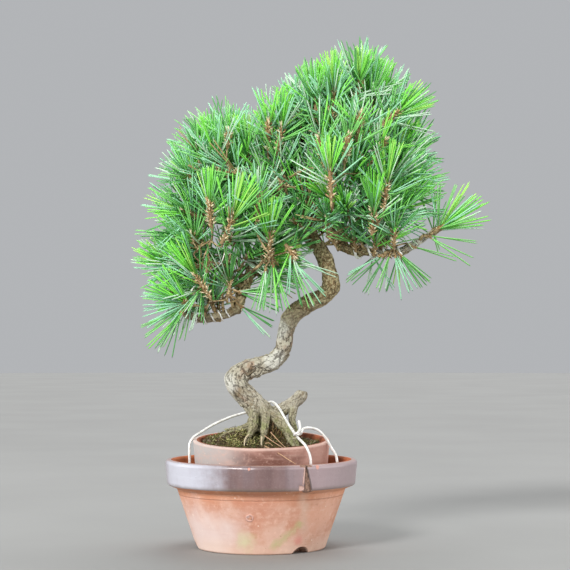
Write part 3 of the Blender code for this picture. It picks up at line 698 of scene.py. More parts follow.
BOUGHS = {
    "bough_right_low": [
        (0.043, 0.008, 0.3136, 0.0052), (0.0608, 0.002, 0.3028, 0.005), (0.071, -0.004, 0.2864, 0.0046),
        (0.083, -0.008, 0.2777, 0.0042), (0.1071, -0.012, 0.2756, 0.0038), (0.1295, -0.012, 0.2756, 0.0038),
        (0.154, -0.01, 0.2897, 0.0034), (0.1764, -0.01, 0.3038, 0.0022)],
    "bough_left_low": [
        (0.045, 0.007, 0.296, 0.0048), (0.025, 0.0, 0.286, 0.0046), (0.0082, -0.008, 0.2715, 0.0043),
        (-0.006, -0.01, 0.264, 0.004), (-0.01, -0.01, 0.26, 0.0039), (-0.0112, -0.01, 0.2514, 0.0038),
        (-0.0171, -0.008, 0.2356, 0.0038), (-0.0222, -0.006, 0.223, 0.004),
        (-0.0228, -0.0058, 0.218, 0.0034)],
    "bough_left_bottom": [
        (-0.019, -0.007, 0.224, 0.0038), (-0.032, -0.006, 0.218, 0.004), (-0.0424, -0.008, 0.2156, 0.0038),
        (-0.0567, -0.01, 0.2133, 0.0036), (-0.0708, -0.013, 0.2186, 0.0033),
        (-0.079, -0.014, 0.2279, 0.0022)],
}
WOOD_STEP = 0.0008
BARK_VOXEL = 0.00066
# Seeds the wander of the cracks, which would otherwise differ in every run.
BARK_SEED = 41
COARSE_PLATE = (0.0052, 0.0085)
FINE_PLATE = (0.0026, 0.0034)
ROOT_PLATE = (0.002, 0.0085)
COARSE_DEPTH = 0.0012
FINE_DEPTH = 0.00075
ROOT_DEPTH = 0.00045
# Burrs and corners of the trunk: place, reach and height.
BURRS = [
    ((-0.0022, -0.002, 0.16), 0.005, 0.003), ((-0.0335, -0.004, 0.1585), 0.008, 0.0016),
    ((0.005, -0.006, 0.178), 0.0085, 0.0014), ((0.0205, -0.003, 0.217), 0.0075, 0.0014),
    ((0.0725, -0.002, 0.24), 0.008, 0.0012), ((-0.011, -0.008, 0.166), 0.006, 0.001),
    ((0.026, -0.002, 0.188), 0.006, 0.001), ((-0.016, -0.008, 0.145), 0.007, 0.0012),
]


def smooth_run(points, step):
    """A smooth run through (x, y, z, radius) points, cut into even steps."""
    points = np.array(points, float)
    ends = np.vstack([2 * points[0] - points[1], points, 2 * points[-1] - points[-2]])
    t = np.linspace(0.0, 1.0, 24, endpoint=False)[:, None]
    spans = [
        0.5 * (2 * b + (c - a) * t + (2 * a - 5 * b + 4 * c - d) * t ** 2 + (3 * b - a - 3 * c + d) * t ** 3)
        for a, b, c, d in zip(ends, ends[1:], ends[2:], ends[3:])
    ]
    fine = np.vstack(spans + [points[-1:]])
    far = np.concatenate([[0.0], np.cumsum(np.linalg.norm(np.diff(fine[:, :3], axis=0), axis=1))])
    even = np.linspace(0.0, far[-1], max(4, int(far[-1] / step) + 1))
    return np.column_stack([np.interp(even, far, fine[:, axis]) for axis in range(4)])


def wood_run(points, radius, step=0.0008):
    """A smooth run of one thickness, which thins to half at its end."""
    count = len(points)
    return smooth_run([(*point, radius * (1.0 - 0.5 * at / (count - 1)))
                       for at, point in enumerate(points)], step)


def tubes(name, runs, fineness):
    """Round limbs along runs of (x, y, z, radius) rows, as one mesh."""
    curve = bpy.data.curves.new(name, "CURVE")
    curve.dimensions = "3D"
    curve.bevel_depth = 1.0
    curve.bevel_resolution = fineness
    curve.use_fill_caps = True
    for run in runs:
        spline = curve.splines.new("POLY")
        spline.points.add(len(run) - 1)
        spline.points.foreach_set("co", np.column_stack([run[:, :3], np.ones(len(run))]).ravel())
        spline.points.foreach_set("radius", run[:, 3])
    drawn = bpy.data.objects.new(name, curve)
    bpy.context.scene.collection.objects.link(drawn)
    graph = bpy.context.evaluated_depsgraph_get()
    mesh = bpy.data.meshes.new_from_object(drawn.evaluated_get(graph))
    bpy.data.objects.remove(drawn)
    mesh.materials.clear()
    return mesh


class Grain:
    """The way round and along one limb, so that its bark runs with it."""

    def __init__(self, run, number):
        self.run = run
        self.number = number
        ways = unit(np.gradient(run[:, :3], axis=0))
        side = np.cross(ways[0], (0.3, 0.9, 0.2))
        self.frames = []
        for way in ways:
            side = side - way * side.dot(way)
            side = side / np.linalg.norm(side)
            self.frames.append((Vector(side), Vector(np.cross(way, side))))
        self.tree = KDTree(len(run))
        for index, row in enumerate(run):
            self.tree.insert(row[:3], index)
        self.tree.balance()

    def clearance(self, point):
        _, index, distance = self.tree.find(point)
        return distance - self.run[index, 3], index

    def around(self, point, index):
        """The bark's own coordinates: a ring of the limb's real radius, and the length along it."""
        out = point - Vector(self.run[index, :3])
        side, other = self.frames[index]
        angle = math.atan2(out.dot(other), out.dot(side))
        radius = self.run[index, 3]
        return Vector((math.cos(angle) * radius, math.sin(angle) * radius,
                       index * WOOD_STEP + self.number * 0.37))


def plates(spot, size):
    """How far a spot lies from the cracks round its plate, 0 to 1, and the plate's own chance value."""
    wide, long = size
    cell = Vector((spot.x / wide, spot.y / wide, spot.z / long))
    cell += 0.45 * noise.noise_vector(cell * 1.3) + 0.2 * noise.noise_vector(cell * 4.0)
    distances, points = noise.voronoi(cell)
    edge = min(1.0, max(0.0, (distances[1] - distances[0]) / 0.14))
    return edge * edge * (3.0 - 2.0 * edge), noise.cell(points[0] * 7.3) * 0.5 + 0.5


def bark_on(made, grains, kind):
    """Raises the bark on a limb's mesh, and leaves there what its colours need."""
    mesh = made.data
    count = len(mesh.vertices)
    normals = np.zeros(count * 3)
    mesh.vertex_normals.foreach_get("vector", normals)
    normals = normals.reshape(-1, 3)
    crack_held, plate_held, moved = np.zeros(count), np.zeros(count), np.zeros((count, 3))
    for vert in mesh.vertices:
        near = sorted((grain.clearance(vert.co) + (grain,) for grain in grains), key=lambda found: found[0])
        rise = weight = edge_sum = plate_sum = 0.0
        for clearance, index, grain in near[:3]:
            share = math.exp(-(clearance - near[0][0]) / 0.0009)
            if share < 0.05:
                continue
            spot = grain.around(vert.co, index)
            if kind == "trunk" and grain.number > 0:
                edge, plate = plates(spot, ROOT_PLATE)
                height = ROOT_DEPTH * (edge * (0.6 + 0.6 * plate) - 0.6)
            else:
                upper = min(1.0, max(0.0, (vert.co.z - 0.195) / 0.035))
                edge, plate = plates(spot, COARSE_PLATE)
                height = COARSE_DEPTH * (edge * (0.45 + 0.9 * plate) - 0.6)
                if upper > 0.0:
                    fine_edge, fine_plate = plates(spot, FINE_PLATE)
                    fine_height = FINE_DEPTH * (fine_edge * (0.5 + 0.8 * fine_plate) - 0.6)
                    height += (fine_height - height) * upper
                    edge += (fine_edge - edge) * upper
                    plate += (fine_plate - plate) * upper
            rise += share * height
            edge_sum += share * edge
            plate_sum += share * plate
            weight += share
        lumps = 0.001 * noise.noise(vert.co * 75.0) + 0.00055 * noise.noise(vert.co * 190.0)
        lumps += 0.0003 * noise.noise(vert.co * 520.0)
        if kind == "trunk":
            for place, reach, height in BURRS:
                off = (vert.co - Vector(place)).length / reach
                lumps += height * max(0.0, 1.0 - off * off) ** 2
        index = vert.index
        crack_held[index] = edge_sum / weight
        plate_held[index] = plate_sum / weight
        moved[index] = normals[index] * (rise / weight + lumps)
    places = np.zeros(count * 3)
    mesh.vertices.foreach_get("co", places)
    mesh.vertices.foreach_set("co", places + moved.ravel())
    for name, values in (("plate_edge", crack_held), ("plate_chance", plate_held)):
        held = mesh.attributes.new(name, "FLOAT", "POINT")
        held.data.foreach_set("value", values)
    mesh.update()


def limb_piece(name, runs, finish, kind, *replaced):
    """Limbs grown together: tubes fused on a fine grid, eased, then covered with bark."""
    made = piece_of(tubes(name, runs, 6), name, finish, "bark", *replaced)
    fuse = made.modifiers.new("fuse", "REMESH")
    fuse.mode = "VOXEL"
    fuse.voxel_size = BARK_VOXEL
    ease = made.modifiers.new("ease", "SMOOTH")
    ease.iterations = 9
    settle(made)
    bark_on(made, [Grain(run, number) for number, run in enumerate(runs)], kind)
    made.data.shade_smooth()
    return made


bark = Finish("bark", Specular_IOR_Level=0.2)
edge = bark.held("plate_edge")
chance = bark.held("plate_chance")
fleck = bark.grain(560.0, 6.0, 0.7)
patch = bark.grain(85.0, 5.0, 0.6)
cloud = bark.grain(48.0, 4.0)
rise = bark.height() + 0.02 * cloud
pale = (0.75 * patch + 0.25 * chance).rise(0.3, 0.6)
low_bark = bark.mix(pale, srgb(136, 122, 98), srgb(190, 183, 164))
low_bark = bark.mix(bark.grain(60.0, 4.0, shift=(3, 0, 0)).rise(0.56, 0.7) * 0.6, low_bark,
                    srgb(158, 122, 96))
low_bark = bark.mix(fleck.rise(0.54, 0.68) * 0.6, low_bark, srgb(218, 216, 204))
low_bark = bark.mix((1.0 - fleck.rise(0.3, 0.44)) * 0.65, low_bark, srgb(96, 84, 66))
scaly = bark.grain(430.0, 4.0, 0.6, shift=(0, 0, 4.0))
high_bark = bark.mix((0.5 * patch + 0.5 * chance).rise(0.3, 0.6), srgb(138, 116, 82), srgb(180, 164, 124))
high_bark = bark.mix(scaly.rise(0.52, 0.64) * 0.7, high_bark, srgb(206, 196, 158))
high_bark = bark.mix((1.0 - scaly.rise(0.36, 0.46)) * 0.6, high_bark, srgb(88, 76, 48))
high_bark = bark.mix(cloud.rise(0.52, 0.7) * 0.35, high_bark, srgb(130, 126, 70))
skin = bark.mix(rise.rise(0.2, 0.245), low_bark, high_bark)
rooty = bark.mix(fleck.rise(0.35, 0.65), srgb(118, 112, 78), srgb(184, 178, 142))
skin = bark.mix((1.0 - rise.rise(0.126, 0.146)) * 0.75, skin, rooty)
green = (1.0 - rise.rise(0.118, 0.15)) * bark.grain(150.0, 5.0).rise(0.48, 0.6)
skin = bark.mix(green * 0.55, skin, srgb(136, 146, 84))
for spot, reach in (
    ((0.013, -0.006, 0.1755), 0.013), ((-0.03, -0.005, 0.153), 0.012), ((0.016, -0.004, 0.203), 0.012),
    ((0.118, -0.016, 0.276), 0.018), ((0.148, -0.013, 0.286), 0.016),
):
    whitened = bark.off(spot) + 0.012 * (patch - 0.5) + 0.01 * (fleck - 0.5)
    skin = bark.mix((1.0 - whitened.rise(0.55 * reach, 1.05 * reach)) * 0.65, skin, srgb(222, 222, 212))
skin = bark.mix((1.0 - edge) * 0.8, skin, srgb(58, 48, 36))
bark.feed("Base Color", skin)
bark.feed("Roughness", 0.8 + 0.15 * fleck)
bark.relief(fleck + 0.5 * scaly + 0.4 * bark.grain(1300.0, 3.0), 0.0011)

noise.seed_set(BARK_SEED)
trunk_run = smooth_run(TRUNK, WOOD_STEP)
root_runs = [smooth_run(route, WOOD_STEP) for route in ROOTS.values()]
bough_runs = [smooth_run(route, WOOD_STEP) for route in BOUGHS.values()]
limb_piece("trunk_and_roots", [trunk_run] + root_runs, bark, "trunk", "trunk", *ROOTS)
limb_piece("boughs", bough_runs, bark, "bough", "bough_right_low", "bough_left_low", "bough_left_drop",
           "bough_left_bottom")


# The litter and hair roots: fine brown roots hang in the arch under the trunk down to the soil,
# and two straws, a fallen pair of needles and a few broken root tips lie on top.
HAIR_ROOTS = 150
SURFACE_ROOTS = 90
SURFACE_ROOT_RADIUS = 0.00035
STRAW_RADIUS = 0.00045
ROOT_TIP_RADIUS = 0.001
HAIR_TOP = ((0.002, 0.024), (-0.0125, 0.006), (0.113, 0.1235))
STRAWS = [
    ((0.0034, -0.027, 0.1052), (0.013, -0.033, 0.099), (0.0226, -0.039, 0.0935)),
    ((0.0088, -0.025, 0.1085), (0.016, -0.03, 0.101), (0.023, -0.035, 0.0945)),
    ((0.004, -0.032, 0.0985), (0.0075, -0.034, 0.099), (0.011, -0.035, 0.0965)),
]
FALLEN_NEEDLES = [
    ((0.004, -0.048, 0.0968), (0.0145, -0.06, 0.0925), (0.032, -0.069, 0.0822)),
    ((0.004, -0.048, 0.097), (0.0125, -0.059, 0.0935), (0.028, -0.0695, 0.0845)),
]
ROOT_TIPS = [
    ((-0.0105, -0.0215, 0.1065), (-0.014, -0.027, 0.103), (-0.0152, -0.031, 0.0975),
     (-0.0146, -0.033, 0.093)),
    ((0.0008, -0.0225, 0.104), (0.0005, -0.027, 0.099), (0.0012, -0.03, 0.0925)),
]

hair_draw = random.Random(23)
hairs = []
for _ in range(HAIR_ROOTS):
    top = [hair_draw.uniform(*span) for span in HAIR_TOP]
    foot = on_soil(top[0] + hair_draw.gauss(0, 0.004), top[1] + hair_draw.gauss(-0.003, 0.004), -0.001)
    middle = (Vector(top) + foot) / 2.0 + Vector([hair_draw.gauss(0, 0.0014) for _ in range(3)])
    hairs.append(wood_run([top, middle, foot], hair_draw.uniform(0.00025, 0.00075)))
for _ in range(SURFACE_ROOTS):
    turned, out = hair_draw.uniform(0.0, 2.0 * math.pi), 0.05 * math.sqrt(hair_draw.random())
    start = on_soil(out * math.cos(turned), out * math.sin(turned), -0.0004)
    spread = Vector((hair_draw.gauss(0, 0.005), hair_draw.gauss(0, 0.005), 0.0))
    crest = start + spread * 0.5 + Vector((0.0, 0.0, hair_draw.uniform(0.0006, 0.0022)))
    hairs.append(wood_run([start, crest, start + spread - Vector((0.0, 0.0, 0.0006))], SURFACE_ROOT_RADIUS))
hair_finish = Finish("hair_roots", Roughness=0.9)
hair_shade = hair_finish.grain(240.0, 4.0).rise(0.4, 0.6)
hair_finish.feed("Base Color", hair_finish.mix(hair_shade, srgb(84, 62, 40), srgb(138, 116, 70)))
piece_of(tubes("hair_roots", hairs, 0), "hair_roots", hair_finish, "bark")
straw_finish = Finish("straw", Base_Color=srgb(196, 156, 120), Roughness=0.6)
straws = [wood_run(route, STRAW_RADIUS) for route in STRAWS + FALLEN_NEEDLES]
piece_of(tubes("straws_and_fallen_needles", straws, 1), "straws_and_fallen_needles", straw_finish, "needles")
tip_finish = Finish("root_tips", Base_Color=srgb(196, 180, 150), Roughness=0.85)
tip_finish.relief(tip_finish.grain(600.0), 0.0006)
piece_of(tubes("root_tips", [wood_run(route, ROOT_TIP_RADIUS) for route in ROOT_TIPS], 2),
         "root_tips", tip_finish, "bark")


# The wires: two lengths of soft bright aluminium wire, twisted together, hold the root ball down in its pot.
# Thinner wire is wound round the boughs that were bent.
TIE_RADIUS = 0.00125
LONG_TIE = [
    (-0.0668, -0.004, 0.072), (-0.0672, -0.004, 0.088), (-0.0668, -0.003, 0.0968), (-0.0635, -0.0005, 0.1024),
    (-0.056, 0.0045, 0.1072), (-0.0456, 0.009, 0.1135), (-0.0296, 0.0125, 0.1205), (-0.0145, 0.0145, 0.125),
    (0.0, 0.0145, 0.13), (0.008, 0.008, 0.135), (0.0125, 0.0, 0.1338), (0.0178, -0.008, 0.128),
    (0.0225, -0.015, 0.12), (0.0285, -0.026, 0.111), (0.0341, -0.038, 0.104), (0.0395, -0.049, 0.099),
    (0.0425, -0.053, 0.0945), (0.045, -0.054, 0.087), (0.0462, -0.0535, 0.072),
]
SHORT_TIE = [
    (0.0349, -0.031, 0.1192), (0.0357, -0.0322, 0.1155), (0.036, -0.0345, 0.1118), (0.0343, -0.0388, 0.1092),
    (0.0316, -0.039, 0.1072), (0.0308, -0.0345, 0.106), (0.0335, -0.032, 0.1062), (0.0366, -0.034, 0.1072),
    (0.0372, -0.0352, 0.1092), (0.0384, -0.0318, 0.1112), (0.0412, -0.0288, 0.1124), (0.0453, -0.026, 0.1124),
    (0.0528, -0.024, 0.1101), (0.0593, -0.022, 0.1035), (0.0649, -0.02, 0.0941), (0.0696, -0.02, 0.0857),
    (0.0712, -0.02, 0.072),
]
TRAINING_RADIUS = 0.0013
THIN_WIRE_RADII = (0.0008, 0.0007)
STEPS_A_TURN = 22
# How far a wound wire stands off the smooth limb, so that it lies on the raised bark.
BARK_ROOM = 0.0007
BRANCH_WIRE = [
    (-0.0322, -0.026, 0.2782), (-0.0156, -0.023, 0.2672), (-0.0073, -0.018, 0.2635), (0.001, -0.015, 0.2561),
    (0.0075, -0.014, 0.2598), (0.006, -0.008, 0.267),
]
FREE_TAIL = [
    (-0.0322, -0.026, 0.2782), (-0.038, -0.029, 0.2631), (-0.0512, -0.032, 0.2546), (-0.0644, -0.034, 0.2387)]

aluminium = Finish("aluminium_wire", Metallic=0.35)
tarnish = aluminium.grain(260.0, 4.0)
aluminium.feed("Base Color", aluminium.mix(tarnish.rise(0.4, 0.7), srgb(248, 247, 243), srgb(218, 215, 208)))
aluminium.feed("Roughness", 0.3 + 0.25 * tarnish)
aluminium.relief(tarnish, 0.0003)


def wire_run(points, radius, step=0.0008):
    return smooth_run([(*point, radius) for point in points], step)


def wound(run, start, end, turns, radius, turned=0.0):
    """A wire wound round a limb between two shares of its length."""
    grain = Grain(run, 0)
    steps = int(abs(turns) * STEPS_A_TURN)
    rows = []
    for step in range(steps + 1):
        share = step / steps
        at = int((start + (end - start) * share) * (len(run) - 1))
        side, other = grain.frames[at]
        angle = turned + 2.0 * math.pi * turns * share
        out = float(run[at, 3]) + radius + BARK_ROOM
        place = Vector(run[at, :3]) + out * (math.cos(angle) * side + math.sin(angle) * other)
        rows.append((*place, radius))
    return np.array(rows)


piece_of(tubes("long_tie_wire", [wire_run(LONG_TIE, TIE_RADIUS)], 4), "long_tie_wire", aluminium,
         "aluminium_wire", "tie_wire_long")
piece_of(tubes("short_tie_wire", [wire_run(SHORT_TIE, TIE_RADIUS)], 4), "short_tie_wire", aluminium,
         "aluminium_wire", "tie_wire_short")
windings = [
    wound(bough_runs[0], 0.395, 0.66, 3.1, TRAINING_RADIUS, 1.2),
    wound(bough_runs[1], 0.38, 0.62, 3.2, THIN_WIRE_RADII[0], 0.4),
    wound(bough_runs[2], 0.2, 0.72, 4.6, THIN_WIRE_RADII[1], 0.9),
    wire_run(BRANCH_WIRE, 0.0009),
    wire_run(FREE_TAIL, 0.00045),
]
piece_of(tubes("training_wires", windings, 3), "training_wires", aluminium, "aluminium_wire")


# The crown: inner boughs and twigs fork from the limbs to the shoots, each a scaly tan stem with a pale bud.
# Stiff needles stand in pairs round the top of a shoot, out of brown sheaths. This year's are brighter.
CROWN_SEED = 29
HEARTS = np.array([(-0.03, 0.004, 0.272), (0.085, 0.004, 0.322)])
NEEDLE_HALF = 0.00077
NEEDLE_SHAPE = [(0.0, 0.8), (0.4, 1.0), (0.94, 0.8), (1.0, 0.0)]
NEEDLE_LENGTHS = (0.031, 0.047)
NEW_LENGTHS = (0.03, 0.042)
OPEN_LENGTHS = (0.034, 0.046)
# The angle to the shoot of its lowest needles, and of those at its tip.
OLDER_ANGLES = (math.radians(72), math.radians(12))
NEW_ANGLES = (math.radians(30), math.radians(4))
NO_LIMIT = 9.0
PRESSED_FLAT = 0.35
STEM_RADII = {"leading": 0.0019, "open": 0.0012, "outer": 0.0014, "inner": 0.0012, "bare": 0.0009}
BRACTS_PER_METRE = {"leading": 2600.0, "open": 1500.0, "outer": 1500.0, "inner": 800.0, "bare": 1500.0}
REACH = 0.043
TIP_MARGIN = 0.01
TRIES = 60000
DEPTH_SHARE = 0.8
FRESH_CHANCE = 0.28
SHORTENED = 0.86
OUTER_SPACING = 0.0152
INNER_SPACING = 0.018
GOLDEN = math.radians(137.508)
# The palest needles are partly real pale needles and partly painted highlights.
KINDS = {
    "blue_green": (162, 224, 180), "green": (138, 216, 116), "deep_green": (96, 168, 92),
    "grey_green_highlight": (202, 232, 202),
    "new_green": (144, 238, 92), "new_yellow_green": (178, 240, 110), "dry": (184, 158, 112),
}
SHOOT_MIXES = [
    (0.42, 0.25, 0.08, 0.22, 0.03, 0.0, 0.0), (0.22, 0.46, 0.14, 0.12, 0.055, 0.0, 0.005),
    (0.18, 0.34, 0.37, 0.07, 0.03, 0.0, 0.01), (0.24, 0.33, 0.08, 0.15, 0.14, 0.06, 0.0),
]
# The inner shoots carry mostly the darker green needles: partly older needles, partly painted shade for the
# crown's interior.
INNER_SHADE_MIX = (0.16, 0.3, 0.42, 0.08, 0.0, 0.0, 0.04)
NEW_MIX = (0.0, 0.14, 0.0, 0.06, 0.52, 0.28, 0.0)
draw = np.random.default_rng(CROWN_SEED)
masses = {}
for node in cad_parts:
    if node.startswith("foliage_"):
        low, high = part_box(node)
        masses[node] = (np.array((low + high) / 2.0), np.array((high - low) / 2.0))
middles = np.array([middle for middle, _ in masses.values()])
halves = np.array([half for _, half in masses.values()])


def within(points):
    """For each point, how far out it is in the mass that holds it best: 0 at a middle, 1 on a surface."""
    return np.linalg.norm((points[:, None, :] - middles[None]) / halves[None], axis=2).min(axis=1)


def growth(points):
    """Which way shoots grow at these points: out from the nearer of the crown's two hearts, and up."""
    away = points[:, None, :] - HEARTS[None]
    far = np.linalg.norm(away, axis=2)
    share = (far[:, 1] ** 3 / (far[:, 0] ** 3 + far[:, 1] ** 3))[:, None]
    out = share * unit(away[:, 0]) + (1.0 - share) * unit(away[:, 1])
    return unit(out + np.array([0.0, 0.0, 0.42]) + draw.normal(0, 0.22, points.shape))


# Where the photograph looks in at bare twigs, as x, height and half sizes seen from the front.
CLEARINGS = np.array([
    (-0.03, 0.26, 0.028, 0.012), (-0.054, 0.22, 0.036, 0.01), (0.09, 0.28, 0.025, 0.009)])
# Heads and ways of the shoots that show in front, and how many older and new pairs of needles each has.
LEADING = [
    (0.0672, -0.038, 0.424, 0.05, -0.1, 1.0, 21, 15), (0.0915, -0.024, 0.434, 0.2, -0.05, 1.0, 20, 14),
    (0.127, -0.03, 0.404, 0.8, -0.15, 0.65, 21, 8), (0.0625, -0.074, 0.344, -0.05, -0.1, 1.0, 18, 17),
    (0.115, -0.05, 0.335, 0.1, -0.15, 1.0, 20, 17), (0.103, -0.047, 0.313, 0.05, -0.15, 1.0, 16, 14),
    (0.1226, -0.03, 0.296, -0.05, -0.2, 1.0, 14, 0),
    (0.0445, -0.026, 0.403, -0.35, -0.1, 0.9, 21, 0), (0.0531, -0.056, 0.376, -0.2, -0.15, 1.0, 21, 0),
    (0.0798, -0.066, 0.377, 0.15, -0.2, 0.95, 21, 0), (0.113, -0.052, 0.375, 0.5, -0.2, 0.75, 21, 0),
    (0.0905, -0.058, 0.398, 0.1, -0.2, 1.0, 21, 0), (0.03, -0.05, 0.27, 0.45, -0.3, -0.65, 13, 0),
    (-0.03, -0.046, 0.383, 0.02, -0.15, 1.0, 16, 0), (-0.042, -0.038, 0.362, -0.3, -0.2, 0.9, 18, 0),
    (0.007, -0.03, 0.393, 0.02, -0.15, 1.0, 12, 8), (0.0194, -0.03, 0.39, 0.15, -0.15, 1.0, 12, 8),
    (-0.0463, -0.064, 0.316, -0.1, -0.15, 1.0, 18, 14), (-0.024, -0.068, 0.305, 0.4, -0.15, 0.9, 18, 14),
    (0.0086, -0.056, 0.292, 0.05, -0.15, 1.0, 18, 12), (-0.0636, -0.032, 0.29, -0.45, -0.2, 0.85, 18, 0),
    (-0.068, -0.03, 0.264, -0.9, -0.2, 0.25, 16, 0), (-0.06, -0.04, 0.252, -0.55, -0.15, 0.8, 17, 10),
    (-0.0021, -0.064, 0.326, 0.05, -0.2, 1.0, 20, 0),
    (-0.068, -0.026, 0.346, -0.75, -0.15, 0.55, 18, 0),
    (-0.07, -0.028, 0.313, -0.85, -0.2, 0.4, 18, 0), (-0.03, -0.018, 0.248, -0.1, -0.3, 1.0, 16, 0),
    (-0.048, -0.014, 0.233, -0.3, -0.3, 0.9, 16, 0), (-0.042, 0.012, 0.238, -0.1, 0.3, 1.0, 20, 0),
    (-0.018, 0.01, 0.25, 0.3, 0.3, 0.9, 20, 0), (-0.056, 0.006, 0.226, -0.4, 0.3, 0.8, 18, 0),
    (0.086, -0.02, 0.29, -0.15, -0.3, 1.0, 15, 0), (0.076, -0.01, 0.299, -0.25, -0.2, 1.0, 15, 0),
    (0.106, -0.022, 0.286, 0.05, -0.3, 1.0, 15, 0), (0.096, 0.004, 0.288, 0.1, 0.4, 1.0, 18, 0),
    (0.118, 0.006, 0.288, 0.25, 0.45, 0.9, 16, 0), (0.044, -0.012, 0.345, -0.1, -0.4, 1.0, 18, 0),
    (0.05, 0.018, 0.348, -0.1, 0.5, 1.0, 20, 0), (0.032, -0.02, 0.285, 0.1, -0.5, 0.6, 15, 0),
]
# Open fans of single needles at the ends of boughs: head, way, pairs, and the widest angle to the way.
OPEN_FANS = [
    (0.167, -0.02, 0.2985, 0.72, -0.1, 0.55, 12, 74, "old"),
    (0.17, -0.02, 0.3, 0.78, -0.1, 0.6, 7, 34, "new"), (0.164, 0.004, 0.298, 0.6, 0.7, 0.45, 9, 60, "old"),
    (0.1085, -0.021, 0.2705, -0.82, -0.1, -0.4, 1, 12, "old"),
    (0.113, -0.021, 0.27, -0.6, -0.1, -0.65, 2, 14, "old"),
    (0.119, -0.021, 0.27, -0.25, -0.1, -0.95, 2, 16, "old"),
    (0.125, -0.021, 0.27, 0.25, -0.1, -0.95, 2, 16, "old"),
    (0.131, -0.021, 0.271, 0.65, -0.1, -0.6, 3, 18, "old"),
    (0.145, -0.018, 0.279, 0.85, -0.1, -0.28, 1, 14, "old"),
    (0.159, -0.018, 0.289, 0.9, -0.1, -0.28, 2, 10, "old"),
    (0.13, 0.006, 0.274, 0.1, 0.8, -0.6, 4, 60, "old"), (0.105, 0.004, 0.27, -0.1, 0.8, -0.6, 3, 60, "old"),
    (-0.0715, -0.036, 0.228, -0.9, -0.1, 0.2, 12, 66, "old"),
    (-0.07, -0.038, 0.23, -0.7, -0.1, 0.7, 8, 36, "new"),
    (-0.075, -0.034, 0.217, -0.45, -0.15, -0.85, 4, 42, "old"),
    (-0.074, -0.036, 0.218, -0.75, -0.15, -0.55, 3, 24, "new"),
    (0.0113, -0.05, 0.26, 0.1, -0.2, -0.95, 6, 46, "old"),
    (0.03, -0.044, 0.264, 0.55, -0.2, -0.75, 6, 40, "old"),
    (-0.018, -0.016, 0.238, 0.95, -0.15, -0.15, 6, 30, "old"),
    (-0.017, -0.012, 0.223, 0.75, -0.15, -0.6, 4, 30, "old"),
    (0.004, -0.046, 0.256, -0.2, -0.2, -0.95, 3, 30, "old"),
]
# Spurs left bare where old shoots were cut: the middle of each cluster, how many, and how far they spread.
SPURS = [
    (0.07, -0.015, 0.296, 11, 0.0055), (0.087, -0.013, 0.288, 4, 0.003), (0.0222, -0.04, 0.338, 6, 0.0045),
    (-0.031, -0.042, 0.352, 4, 0.004), (-0.042, -0.04, 0.276, 6, 0.006), (0.008, -0.048, 0.276, 6, 0.006),
    (-0.034, -0.022, 0.24, 5, 0.006), (0.104, -0.048, 0.302, 3, 0.004), (-0.066, -0.03, 0.286, 4, 0.005),
]
shoots = []
for *middle, number, spread in SPURS:
    for _ in range(number):
        way = unit(np.array([[0.0, -0.25, 0.5]]) + draw.normal(0, 0.6, (1, 3)))[0]
        shoots.append((np.array(middle) + draw.normal(0, spread, 3), way,
                       draw.uniform(0.006, 0.011), 0, 0, "bare"))
for *place, pairs, opened, season in OPEN_FANS:
    older, fresh = (pairs, 0) if season == "old" else (0, pairs)
    shoots.append((np.array(place[:3]), unit(np.array([place[3:]]))[0],
                   0.005, older, fresh, math.radians(opened)))
for row in LEADING:
    stem = draw.uniform(0.02, 0.025) if row[6] + row[7] > 19 else draw.uniform(0.01, 0.014)
    shoots.append((np.array(row[:3]), unit(np.array([row[3:6]]))[0], stem, row[6], row[7], "leading"))
reach_low, reach_high = middles.min(axis=0) - 0.04, middles.max(axis=0) + 0.04
tries = draw.uniform(reach_low, reach_high, (TRIES, 3))
ways = growth(tries)
inside = within(tries)
tip_inside = within(tries + ways * REACH)
further = within(tries + ways * (REACH + TIP_MARGIN))
seen_in = np.abs(tries[:, None, [0, 2]] - CLEARINGS[None, :, :2]) / CLEARINGS[None, :, 2:]
bare = (np.linalg.norm(seen_in, axis=2) < 1.0).any(axis=1) & (tries[:, 1] < 0.0)
bare |= (tries[:, 0] > 0.06) & (tries[:, 2] < 0.276)
bare |= (tries[:, 0] > 0.138) & (tries[:, 2] < 0.325)
bare |= (tries[:, 0] < -0.072) & (tries[:, 2] < 0.25) & (tries[:, 1] < 0.01)
outer = (inside < 0.88) & (tip_inside < 0.97) & (further > 0.92) & ~bare
inner = (inside < 0.8) & (tip_inside < 1.12) & ~outer & ~bare
for place, chosen, spacing in (("outer", outer, OUTER_SPACING), ("inner", inner, INNER_SPACING)):
    for index in np.flatnonzero(chosen):
        heads = np.array([shoot[0] for shoot in shoots if shoot[5] != "bare"])
        if np.linalg.norm((heads - tries[index]) * (1.0, DEPTH_SHARE, 1.0), axis=1).min() < spacing:
            continue
        older, fresh = (int(draw.integers(15, 27)), 0) if place == "outer" else (20, 0)
        if place == "outer" and draw.random() < FRESH_CHANCE:
            fresh = 12
        shoots.append((tries[index], ways[index], draw.uniform(0.009, 0.014), older, fresh, place))

needles, sheaths, bracts, buds, stems = [], [], [], [], []


